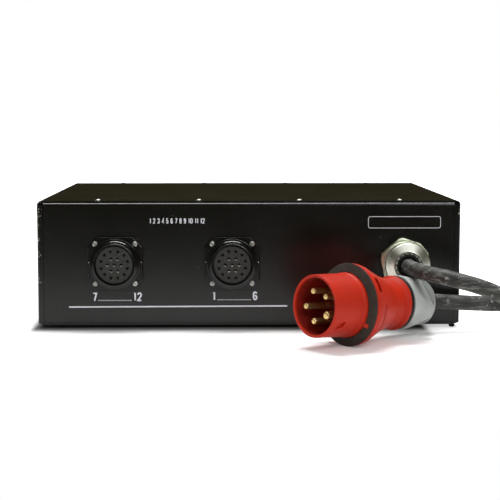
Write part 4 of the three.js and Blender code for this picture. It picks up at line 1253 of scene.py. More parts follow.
@dataclass
class LoadSocket(SubAssembly):
    """A 19-way load socket: flange, threaded shell, contact insert and screws."""

    flange_width: float = 58.0
    flange_height: float = 56.0
    corner: float = 10.5
    plate: Pair = (-3.3, -0.3)
    collar: float = 26.5
    collar_face: float = -8.3
    thread: float = 24.2
    thread_face: float = -12.8
    thread_pitch: float = 1.12
    lip: float = 22.3
    reach: float = -17.0
    bore: float = 19.9
    barrel: float = 21.6
    rear: float = 18.0
    insert_face: float = -14.6
    insert_rear: float = 14.0
    insert_radius: float = 19.6
    disc: float = 19.15
    keys_at: tuple[float, ...] = (90, 18, -35, 214, 162)
    contact: float = 1.6
    contact_wall: float = 0.44
    contact_depth: float = 5.0
    near_contacts: int = 7
    screw_place: float = 20.65
    rivet_x: float = 27.2
    rivet_z: float = 1.5

    def flange(self) -> Shape:
        """Cut the flange with its four cut-off corners and rounded edges.

        Returns:
            The flange.
        """
        w, h, c = self.flange_width / 2, self.flange_height / 2, self.corner
        upper = [(w, h - c), (w - c, h), (-w + c, h), (-w, h - c)]
        plate = slab([(-x, -z) for x, z in upper] + upper, *self.plate)
        return carved(eased(plate, 1.4, 5, 40), rod(20.7, -6, 3, sides=64))

    def shell(self) -> Shape:
        """Turn the shell with its collar, thread and lip, and set the five keys in its mouth.

        Returns:
            The shell.
        """
        collar, thread, lip, face = self.collar, self.thread, self.lip, self.insert_face
        seat, y = self.plate[0], self.collar_face
        profile = [(self.bore, self.rear), (self.barrel, self.rear), (self.barrel, seat + 0.4),
                   (collar, seat + 0.4), (collar, seat),
                   *arc((collar - 0.9, y + 0.9), 0.9, 0, -90, 6), (thread - 0.6, y)]
        while y - self.thread_pitch > self.thread_face:
            profile += [(thread - 0.28, y - 0.1), (thread, y - 0.3), (thread, y - 0.58),
                        (thread - 0.28, y - 0.98)]
            y -= self.thread_pitch
        y = self.thread_face
        profile += [(lip, y), (lip, y - 1.2), (lip - 0.35, y - 1.45), (lip - 0.35, -14.9),
                    (lip, -15.1), *arc((lip - 1.1, self.reach + 1.1), 1.1, 0, -110, 8),
                    (self.bore + 0.5, face - 0.6), (self.bore, face + 0.3)]
        key = eased(block((19.1, 20.4), (face - 0.9, face + 1), (-0.8, 0.8)), 0.25, 1)
        return turned(profile, 96).add(joined(key.placed(spun(-turn)) for turn in self.keys_at))

    def places(self) -> list[Pair]:
        """Return the middles of the nineteen contacts."""
        return [(0.0, 0.0), *ring_of(6, 7.1), *ring_of(12, 14.1, turn=math.pi / 12)]

    def insert(self) -> Shape:
        """Make the insert with its nineteen holes.

        Returns:
            The insert.
        """
        edge, face, disc, rear = self.insert_radius, self.insert_face, self.disc, self.insert_rear
        body = turned([(0, face), (disc - 0.3, face), (disc, face + 0.3), (disc, face + 0.9),
                       (edge, face + 1.0), (edge, rear), (0, rear)], 96)
        return carved(body, *(rod(self.contact, face - 2, face + self.contact_depth, place, 24)
                              for place in self.places()))

    def contacts(self) -> Shape:
        """Make the sprung sleeves: those in the middle come near the face, the rest stay back. Only
        the lower arc of each sleeve is made, where light from above falls, and the grey insert
        above it is painted shade.

        Returns:
            The sleeves.
        """
        radii = (self.contact - 0.06 - self.contact_wall, self.contact - 0.06)
        face, back = self.insert_face, self.insert_face + self.contact_depth - 0.1
        return joined(sector(radii, (face + (0.15 if i < self.near_contacts else 3.4), back),
                             (216, 324), 8, place) for i, place in enumerate(self.places()))

    def fixings(self) -> Shape:
        """Set the four flange screws, and the two small rivets at the flange's middle height.

        Returns:
            The screws and rivets.
        """
        seat, reach = self.plate[0], self.screw_place
        rivet = turned([(0, 0.3), (0.7, 0.3), (0.7, -0.1), (0.45, -0.35), (0, -0.4)], 16)
        return Screw().row([(-reach, seat, -reach, 20), (reach, seat, -reach, 65),
                            (reach, seat, reach, 40), (-reach, seat, reach, 80)]).add(
            joined(rivet.moved(side * self.rivet_x, seat, self.rivet_z) for side in SIDES))

    def build(self) -> None:
        """Make both sockets from one set of shapes."""
        made = (("shell", self.shell(), SHELL_BLACK, "socket_black", True),
                ("flange", self.flange(), FLANGE_BLACK, "socket_black", False),
                ("insert", self.insert(), INSERT_GREY, "insert_grey", True),
                ("contacts", self.contacts(), CONTACT, "nickel", False),
                ("screws", self.fixings(), SCREW, "zinc_steel", False))
        for letter, x in zip("ab", LAYOUT.sockets):
            for name, shape, finish, slot, packed in made:
                self.shop.piece(f"socket_{letter}_{name}", shape.moved(x, 0, MIDDLE), finish, slot,
                                f"load_socket_{letter}_{name}" if packed else "")


@dataclass
class Gland(SubAssembly):
    """The plated mains gland: hexagon body, dome nut with its fingers, seal and locknut."""

    corner: float = 49 / math.sqrt(3)
    turned_to: float = 27.1
    turn: float = math.radians(-11)
    hex_length: float = 9.0
    stem: float = 20.0
    front_stem: float = 17.0
    stem_front: float = -16.0
    stem_rear: float = 15.0
    thread_pitch: float = 1.5
    bore: float = 12.0
    dome: float = 23.1
    shoulder: float = -24.2
    mouth: float = 13.6
    reach: float = -30.0
    fingers: int = 16
    finger_share: float = 0.72
    dressed: tuple[Pair, ...] = ((41, 24.9), (24, 25.7), (58, 25.7), (176, 25.9))
    locknut: Pair = (1.8, 7.8)

    def hexagon(self, low: float, high: float) -> Shape:
        """Make a hexagon with both of its edges turned down.

        Args:
            low: where it starts.
            high: where it ends.

        Returns:
            The hexagon.
        """
        prism = slab(ring_of(6, self.corner, turn=math.pi / 2 - self.turn), low, high)
        tip = self.turned_to
        limit = turned([(0, low - 0.1), (tip - 2.8, low - 0.1), (tip, low + 1.5),
                        (tip, high - 1.5), (tip - 2.8, high + 0.1), (0, high + 0.1)], 96)
        made = combined(prism, limit, Cut.SHARED)
        for degrees, reach in self.dressed:
            away = block((reach, 40), (low - 1, high + 1), (-25, 25))
            made = combined(made, away.placed(spun(-degrees)))
        return made

    def body(self) -> Shape:
        """Make the body: hexagon, threaded stems and bore.

        Returns:
            The body.
        """
        bore, stem, front, thread = self.bore, self.stem, self.front_stem, []
        for i in range(int((self.stem_rear + 0.2) / self.thread_pitch)):
            y = i * self.thread_pitch - 0.2
            thread += [(stem - 0.8, y + 0.1), (stem, y + 0.6), (stem, y + 0.8),
                       (stem - 0.8, y + 1.35)]
        back = turned([(bore, -8.5), (stem - 0.8, -8.5), (stem - 0.8, -0.3), *thread,
                       (bore, self.stem_rear)], 72)
        tube = turned([(bore, self.stem_front), (front, self.stem_front), (front, -5),
                       (bore, -5)], 72)
        hexagon = carved(self.hexagon(-self.hex_length, -0.3), rod(bore, -12, 4, sides=72))
        return joined((hexagon, back, tube))

    def nut(self) -> Shape:
        """Turn the dome nut: a short rim, the polished cone and the rolled mouth.

        Returns:
            The nut.
        """
        rear, dome, mouth, reach = -self.hex_length - 0.3, self.dome, self.mouth, self.reach
        inner, floor = self.front_stem + 0.3, self.stem_front - 0.3
        return turned([(inner, rear), (dome - 0.7, rear), (dome, rear - 0.7), (dome, rear - 2.4),
                       (dome - 0.8, rear - 3.0), (dome - 0.8, rear - 3.5), (dome, rear - 4.1),
                       *arc((dome - 2.2, self.shoulder + 0.6), 2.2, 0, -45, 4),
                       (mouth + 5.0, self.shoulder - 3.4),
                       *arc((mouth + 1.1, reach + 1.1), 1.1, -52, -120, 5),
                       (mouth, reach + 0.9), (mouth, floor), (inner, floor)], 96)

    def ring_of_fingers(self) -> Shape:
        """Make the ring of clamping fingers inside the mouth.

        Returns:
            The fingers.
        """
        radii, along = (self.mouth - 1.5, self.mouth - 0.15), (self.reach + 0.75, self.reach + 6)
        step = 360 / self.fingers
        return joined(sector(radii, along, (i * step, (i + self.finger_share) * step), 3)
                      for i in range(self.fingers))

    def seal(self) -> Shape:
        """Turn the rubber seal with its lip round the cord."""
        return turned([(8.05, -16.6), (12.0, -16.6), (12.0, -25.5), (11.6, -27.4),
                       (10.2, -27.9), (9.0, -27.0), (8.3, -25.5), (8.05, -24)], 72)

    def build(self) -> None:
        """Make the gland's pieces."""
        locknut = carved(self.hexagon(*self.locknut), rod(self.stem + 0.3, 0, 10, sides=64))
        for name, shape, finish, slot, node in (
                ("gland_hexagon", self.body(), OLD_NICKEL, "nickel", "gland_body"),
                ("gland_dome", self.nut(), NICKEL, "nickel", "gland_dome_nut"),
                ("gland_fingers", self.ring_of_fingers(), NICKEL, "nickel", ""),
                ("gland_rubber", self.seal(), RUBBER, "rubber_black", "gland_seal"),
                ("gland_rear_nut", locknut, OLD_NICKEL, "nickel", "gland_locknut")):
            self.shop.piece(name, shape.moved(LAYOUT.gland, 0, MIDDLE), finish, slot, node)


@dataclass
class Plug(SubAssembly):
    """The five-pin plug, measured back along its axis from its rim."""

    rim: Triple = (58.9, -138.8, 43.2)
    yaw: float = 50.5
    tilt: float = 3.54
    shroud: float = 30.1
    wall: float = 2.8
    step: float = 37.2
    draft: float = 0.5
    root: float = 31.4
    cavity: float = 42.0
    # Thickness of the cavity's lining of painted shade.
    lining: float = 0.2
    gasket: Pair = (40.8, 44.3)
    gasket_rim: Pair = (44.0, 45.2)
    gasket_radius: float = 40.4
    flange: float = 39.9
    flange_front: float = 44.6
    flange_length: float = 7.0
    cone_length: float = 34.0
    housing: float = 26.0
    waist: float = 25.0
    slot: Pair = (50.6, 56.0)
    slot_floor: float = 32.3
    seam: Pair = (60.7, 62.1)
    seam_floor: float = 32.4
    clear: float = 46.0
    end: float = 108.0
    collar: float = 27.1
    collar_width: float = 3.6
    seal: float = 26.3
    seal_length: float = 3.3
    nut: float = 27.4
    nut_rear: float = 23.6
    length: float = 146.5
    bore: float = 8.2
    pin_ring: float = 15.1
    pin_front: float = 2.5
    flat_tilt: float = 21.0
    flats: Triple = (40, 160, 280)
    pins: tuple[tuple[str, float, float], ...] = (
        ("l1", 186.0, 3.0), ("l2", 114.0, 3.0), ("l3", 42.0, 3.0), ("earth", -30.0, 4.0),
        ("neutral", -102.0, 3.0))
    key_angle: float = -30.0
    cone: tuple[Pair, ...] = ((0, 0.98), (0.06, 0.93), (0.17, 0.8), (0.29, 0.67), (0.41, 0.55),
                              (0.53, 0.42), (0.65, 0.3), (0.74, 0.215), (0.82, 0.15),
                              (0.91, 0.08), (1, 0.03))
    nut_shares: tuple[Pair, ...] = ((0, 0.93), (0.015, 0.98), (0.05, 1.0), (0.22, 0.86),
                                    (0.38, 0.65), (0.53, 0.45), (0.68, 0.28), (0.82, 0.12),
                                    (0.93, 0.0))

    def place(self) -> Matrix:
        """Return where the plug lies: its +Y runs from its rim to its cord."""
        return Matrix.Translation(self.rim) @ spun(-self.yaw, "Z") @ spun(-self.tilt, "X")

    def pin_place(self, degrees: float) -> Matrix:
        """Return the place of a pin, some degrees up from +X round the plug's axis."""
        return spun(-degrees) @ Matrix.Translation((self.pin_ring, 0, 0))

    def make_shroud(self) -> Shape:
        """Make the shroud with its rounded rim, moulded hollow, key nub and root.

        Returns:
            The shroud.
        """
        outer, inner, step, root = self.shroud, self.shroud - self.wall, self.step, self.root
        wide, rear = outer + self.draft, self.gasket[0] + 2.5
        made = turned([(0, self.cavity), (inner - 1.2, self.cavity), (inner, self.cavity - 1.2),
                       (inner, 1.2), *arc((inner + 0.9, 0.9), 0.9, 180, 270),
                       *arc((outer - 1.1, 1.1), 1.1, -90, 0), (wide, step - 0.9),
                       (wide + 0.12, step - 0.4), *arc((root - 1.0, step + 1.0), 1.0, -55, 0),
                       (root, 60), (0, 60)], 128)
        hollow = slab([(-4.4, 3.6), (-3.4, -2.6), (4.6, -5.4), (3.2, 2.4)], -2.2, 3.0)
        spot = spun(1 - self.key_angle) @ Matrix.Translation((outer, 11.6, 0)) @ LEFTWARD
        nub = slab([(root - 1, rear - 3.6), (root + 0.6, rear - 3.6), (root + 5.0, rear - 0.7),
                    (root + 5.0, rear), (root - 1, rear)], -2.2, 2.2, Axis.Z)
        return carved(made, hollow.placed(spot)).add(eased(nub, 0.4), spun(-self.key_angle))

    def make_shade_lining(self) -> Shape:
        """Turn the thin dark lining of the cavity, with a boss round each pin: a darker red that
        paints the shade inside the shroud.

        Returns:
            The lining of painted shade.
        """
        inner, floor, thick = self.shroud - self.wall - 0.05, self.cavity - 0.1, self.lining
        made = turned([(inner, 2.4), (inner, floor - 1.3), (inner - 1.25, floor), (0, floor),
                       (0, floor - thick), (inner - 1.35, floor - thick),
                       (inner - thick, floor - 1.4), (inner - thick, 2.4)], 128)
        base = self.cavity
        boss = turned([(3.2, base + 1), (5.2, base + 1), (5.0, base - 2.4), (4.6, base - 2.8),
                       (3.2, base - 2.8)], 32)
        for _, degrees, radius in self.pins:
            grown = Matrix.Diagonal((radius / 3, 1, radius / 3, 1))
            made.add(boss, self.pin_place(degrees) @ grown)
        return made

    def make_pin(self, radius: float) -> Shape:
        """Turn a contact pin with a round tip."""
        tip, front, back = radius * 0.62, self.pin_front, self.cavity + 4.5
        return turned([(0, front), *arc((radius - tip, front + tip), tip, -90, 0, 6),
                       (radius, back), (0, back)], 36)

    def make_gasket(self) -> Shape:
        """Turn the gasket, which is dished back towards its rounded rim.

        Returns:
            The gasket.
        """
        (low, high), rim, radius, bore = self.gasket, self.gasket_rim, self.gasket_radius, self.root
        half = (rim[1] - rim[0]) / 2
        return turned([(bore + 0.3, low + 0.5), (bore + 0.8, low + 0.05), (radius - 5, low + 1.25),
                       (radius - 2, rim[0] - 0.75),
                       *arc((radius - half, rim[0] + half), half, -62, 82, 6),
                       (bore + 0.3, high)], 128)

    def make_housing(self) -> Shape:
        """Make the flared housing with its moulded slots, mould line and collar.

        Returns:
            The housing.
        """
        front, rear = self.flange_front, self.flange_front + self.flange_length
        flange, waist, collar, inner = self.flange, self.waist, self.collar, self.root + 0.3
        rim, end, start = self.gasket_rim[1] + 0.3, self.end, self.end - self.collar_width
        cone = [(self.housing + (flange - self.housing) * out, rear + self.cone_length * along)
                for along, out in self.cone]
        body = turned([
            (inner, front), (flange - 1.0, rim), (flange, rim + 1.0), (flange, rear - 1.4),
            (flange - 0.5, rear - 0.5), *cone, (waist, rear + self.cone_length + 1.5),
            (waist - 0.2, start - 4.4), (waist - 0.5, start - 3.6), (waist - 0.7, start - 2.8),
            (collar - 0.5, start - 0.2), (collar - 0.1, start + 0.1), (collar, start + 0.5),
            (collar, start + 1.2), (collar - 0.4, start + 1.7), (collar - 0.4, end - 1.4),
            *arc((collar - 1.6, end - 1.1), 1.1, 0, 90, 4), (self.bore, end),
            (self.bore, end - 3), (22, end - 3), (22, 63), (inner, 60.3)], 128)
        for turn in (0, 180):
            slot = sector((self.slot_floor, self.clear), self.slot, (turn + 24, turn + 47))
            body = combined(body, eased(slot, 0.5))
        return combined(body, sector((self.seam_floor, self.clear), self.seam, (-176, 6), 48))

    def make_seal(self) -> Shape:
        """Turn the black ring between housing and nut."""
        low, rim, high = self.end + 0.3, self.seal, self.end + 0.3 + self.seal_length
        return turned([(self.bore, low), (rim - 0.5, low), (rim, low + 0.5), (rim, high - 0.5),
                       (rim - 0.5, high), (self.bore, high)], 96)

    def make_nut(self) -> Shape:
        """Make the clamp nut: a dome with broad grip flats.

        Returns:
            The nut.
        """
        front, back = self.end + self.seal_length + 0.6, self.length
        rear, bore, long = self.nut_rear, self.bore, back - front
        dome = [(rear + (self.nut - rear) * out, front + long * along)
                for along, out in self.nut_shares]
        body = turned([(bore, front), *dome, (rear - 0.5, front + long * 0.97), (rear - 1.6, back),
                       (bore + 4, back), (bore + 3.2, back - 1.2), (bore, back - 1.2)], 128)
        flat = block((0, 14), (-26, 26), (-26, 26)).placed(spun(self.flat_tilt, "Z"))
        for degrees in self.flats:
            reach = Matrix.Translation((self.nut - 0.6, front + 6, 0))
            body = combined(body, flat.placed(spun(-degrees) @ reach))
        return body

    def build(self) -> list[str]:
        """Make the plug's pieces.

        Returns:
            Their names.
        """
        here = self.place()
        made = [("plug_red_shroud", self.make_shroud(), PLUG_RED, "plug_red", "plug_shroud"),
                ("plug_flat_gasket", self.make_gasket(), GASKET, "rubber_black", "plug_gasket"),
                ("plug_red_housing", self.make_housing(), PLUG_RED, "plug_red", "plug_housing"),
                # The cavity lining is painted shade, a darker red inside the shroud.
                ("plug_cavity_lining", self.make_shade_lining(), PLUG_SHADE_LINING, "plug_red", ""),
                ("plug_black_ring", self.make_seal(), SEAL_BLACK, "rubber_black", "plug_seal"),
                ("plug_clamp_nut", self.make_nut(), PLUG_GREY, "plug_grey", "plug_nut")]
        made += [(f"brass_pin_{name}", self.make_pin(radius).placed(self.pin_place(degrees)), BRASS,
                  "pin_brass", f"plug_pin_{name}") for name, degrees, radius in self.pins]
        for name, shape, *rest in made:
            self.shop.piece(name, shape.placed(here), *rest)
        return [name for name, *_ in made]


@dataclass
class MainsCord(SubAssembly):
    """The mains cord: out of the gland, into a flat coil on the floor, and back to the plug."""

    diameter: float = 15.5
    gap: float = 0.6
    floor_gap: float = 0.15
    centre: Pair = (376.0, -19.0)
    middle_radius: float = 82.3
    turns: float = 2 + 2 / 3
    steps: int = 48
    hair: float = 0.001
    from_gland: tuple[Triple, ...] = (
        (163, -20, 68.5), (163, -33, 68.5), (163, -46, 68.5), (171.6, -78, 67.6),
        (195, -101.4, 64.3), (227, -110.4, 55.6), (258, -111.8, 41.6), (288, -112, 27),
        (318, -112, 14.9), (341, -112, 8.9))
    to_plug: tuple[Triple, ...] = (
        (273.8, -5.6, 25.2), (261, -15.5, 27.2), (247.1, -21.2, 28.3), (227.4, -23.2, 29.4),
        (205, -26.3, 31))

    def coil_point(self, turn: float) -> Vector:
        """Return a point of the coil: it winds in on the floor, climbs, and winds out on top.

        Args:
            turn: turns from the coil's start.

        Returns:
            The point.
        """
        pitch = self.diameter + self.gap
        from_middle = turn - self.turns / 2
        radius = self.middle_radius - pitch * self.turns / 4 + pitch * abs(from_middle)
        rise = min(1.0, max(0.0, from_middle * 2 + 0.5))
        rise = rise * rise * (3 - 2 * rise)
        angle = FULL * turn - math.pi / 2
        return Vector((self.centre[0] + radius * math.cos(angle),
                       self.centre[1] + radius * math.sin(angle),
                       self.diameter / 2 + self.floor_gap + pitch * rise))

    def lead(self, turn: float, inward: float, away: float) -> Vector:
        """Find a point straight out of an end of the coil.

        Args:
            turn: turns from the coil's start to that end.
            inward: a small turn from the end into the coil.
            away: how far out the point lies, in diameters.

        Returns:
            The point.
        """
        end = self.coil_point(turn)
        out = end - self.coil_point(turn + inward)
        out.z = 0
        return end + out.normalized() * self.diameter * away

    def stretch(self, points: Sequence[Vector], steps: int = 12) -> list[Vector]:
        """Round a row of points off with a centripetal curve.

        Args:
            points: what the curve passes through.
            steps: points made for each stretch.

        Returns:
            Points along the curve.
        """
        padded = [2 * points[0] - points[1], *points, 2 * points[-1] - points[-2]]
        made = []
        for four in zip(padded, padded[1:], padded[2:], padded[3:]):
            knots = [0.0]
            for before, after in zip(four, four[1:]):
                knots.append(knots[-1] + math.sqrt((after - before).length))
            for i in range(steps):
                t = knots[1] + (knots[2] - knots[1]) * i / steps
                level = four
                for first, span in ((0, 1), (0, 2), (1, 1)):
                    ends = [(knots[k], knots[k + span]) for k in range(first, 4 - span)]
                    level = [(a * (high - t) + b * (t - low)) / (high - low)
                             for a, b, (low, high) in zip(level, level[1:], ends)]
                made.append(level[0])
        return [*made, points[-1]]

    def route(self, plug: Plug) -> list[Vector]:
        """Return the cord's whole middle line.

        Args:
            plug: the plug it ends in.

        Returns:
            Points from inside the gland to inside the plug's nut.
        """
        count = round(self.turns * self.steps)
        wound = [self.coil_point(self.turns * i / count) for i in range(count + 1)]
        first, last = ((self.lead(turn, inward, 1), self.lead(turn, inward, 1.5))
                       for turn, inward in ((0, self.hair), (self.turns, -self.hair)))
        start = self.stretch([*map(Vector, self.from_gland), first[1], first[0]])
        axis = [plug.place() @ Vector((0, plug.length + away, 0))
                for away in (self.diameter, 0, -self.diameter)]
        return [*start, *wound, *self.stretch([*last, *map(Vector, self.to_plug), *axis])]

    def build(self, plug: Plug, on_it: Sequence[str]) -> None:
        """Args:
            plug: the plug on its end.
            on_it: the names of the plug's pieces; not used.
        """
        points = [self.shop.to_frame @ point for point in self.route(plug)]
        curve = bpy.data.curves.new("mains_cord", "CURVE")
        curve.dimensions = "3D"
        curve.bevel_depth = self.diameter / 2 * MM
        curve.bevel_resolution = 6
        curve.use_fill_caps = True
        line = curve.splines.new("POLY")
        line.points.add(len(points) - 1)
        for knot, point in zip(line.points, points):
            knot.co = (*point, 1)
        line.use_smooth = True
        curve.materials.append(self.shop.material(CORD))
        cord = shown("mains_cord", curve)
        self.shop.fix(cord, "cord_rubber", "pack", "cord_from_gland", "cord_coil", "cord_to_plug")
        long = sum((after - before).length for before, after in zip(points, points[1:]))
        at(LAYOUT.gland, -30, MIDDLE)
        LOG.info("mains_cord: %.2f m long", long)


@dataclass
class Breakers(SubAssembly):
    """Twelve miniature breakers in two banks on their rail."""

    nose_face: float = 362.5
    rail_plane: float = 294.5
    shoulder: float = 338.5
    body_half: float = 42.0
    nose_half: float = 22.5
    groove: Pair = (2.6, 17.9)
    screw_half: float = 34.0
    pivot: float = 357.5
    lever_width: float = 8.0
    lever_reach: float = 17.0
    lever_angle: float = 42.0
    hub: float = 7.0
    number_width_share: float = 3.0
    number_field: Pair = (98.0, 104.5)

    def way(self) -> Shape:
        """Make one breaker, centred on X 0.

        Returns:
            The breaker.
        """
        half, nose, rail = LAYOUT.breaker_pitch / 2 - 0.12, self.nose_face, self.rail_plane
        deep, groove = self.groove
        upper = [(nose, self.nose_half), (self.shoulder + 9, self.nose_half),
                 (self.shoulder, self.nose_half + 5), (self.shoulder, self.body_half),
                 (rail, self.body_half), (rail, groove), (rail + deep, groove)]
        outline = upper + [(y, -z) for y, z in upper[::-1]]
        body = slab([(y, MIDDLE + z) for y, z in outline], -half, half, Axis.X)
        side = self.lever_width / 2 + 0.3
        pits = [block((-x, x), (nose - deep, nose + 2), (MIDDLE + low, MIDDLE + high))
                for x, deep, low, high in ((side, 12.5, -11, 11), (3.2, 0.5, 14, 19),
                                           (5.6, 0.3, -20, -13.6))]
        screws = [rod(3.1, self.shoulder - 7, self.shoulder + 2, (0, MIDDLE + z), 20)
                  for z in (-self.screw_half, self.screw_half)]
        return carved(eased(body, 0.5), *pits, *screws)

    def lever(self) -> Shape:
        """Make one toggle at rest, centred on X 0: hub, waisted arm and grip ribs.

        Returns:
            The toggle.
        """
        side, reach = self.lever_width / 2, self.lever_reach
        arm = [(0, -2.9), (11, -2.0), (reach - 1.2, -1.7),
               *arc((reach - 1.3, 0.0), 1.7, -80, 80, 6), (reach - 1.2, 1.7), (15.2, 1.75)]
        for foot, up in ((14.9, 2.2), (13.1, 2.3), (11.3, 2.4)):
            arm += [(foot, up), (foot - 0.5, up), (foot - 0.8, up - 0.4), (foot - 1.5, up - 0.35)]
        arm = [*arm[:-1], (0, 2.9)]
        tilt = spun(self.lever_angle, "Z").to_2x2()
        outline = [(self.pivot + y, MIDDLE + z) for y, z in (tilt @ Vector(point) for point in arm)]
        toggle = eased(slab(outline, -side, side, Axis.X), 0.3, 2, 40)
        hub = rod(self.hub, -side, side, (self.pivot, MIDDLE), 40, Axis.X)
        return toggle.add(eased(hub, 0.3, 2, 50))

    def number(self, index: int, x: float) -> Shape:
        """Print a breaker's channel number over it.

        Args:
            index: the breaker's place in its row, from 0 on the left.
            x: its middle.

        Returns:
            The number.
        """
        text = str(LAYOUT.breakers - index)
        wide = DIGITS.width(text) * self.number_width_share
        return DIGITS.write(text, (x - wide, x + wide), self.number_field, REAR_PRINT, True)

    def build(self) -> None:
        """Make both banks, their screws and marks, and the twelve toggles."""
        way, toggle, piece = self.way(), self.lever(), self.shop.piece
        middles = [LAYOUT.breaker_left + (i + 0.5) * LAYOUT.breaker_pitch
                   for i in range(LAYOUT.breakers)]
        half = len(middles) // 2
        for name, first in (("left", 0), ("right", half)):
            bank = list(enumerate(middles))[first:first + half]
            for i, x in bank:
                lever = f"breaker_lever_{i + 1:02d}"
                piece(f"toggle_{i + 1:02d}", toggle.moved(x), LEVER, "lever_blue", lever, lever)
            ends = (-self.screw_half, self.screw_half)
            heads = Screw(2.9, 1.2).row([(x, self.shoulder - 5, MIDDLE + z, 25 * i + z)
                                         for i, x in bank for z in ends], BACKWARD)
            flags = [slab(rounded(4.8, 3.4, 0.3, (x, MIDDLE + 16.5), 2),
                          self.nose_face - 0.6, self.nose_face - 0.25) for _, x in bank]
            piece(f"breakers_{name}", joined(way.moved(x) for _, x in bank), BREAKER,
                  "breaker_white", f"breaker_bank_{name}")
            piece(f"breaker_screws_{name}", heads, SCREW, "zinc_steel")
            piece(f"breaker_flags_{name}", joined(flags), PLUG_RED, "plug_red")
        numbers = joined(self.number(i, x) for i, x in enumerate(middles))
        piece("breaker_numbers", numbers, PRINT_WHITE, "case_paint", smooth=20)


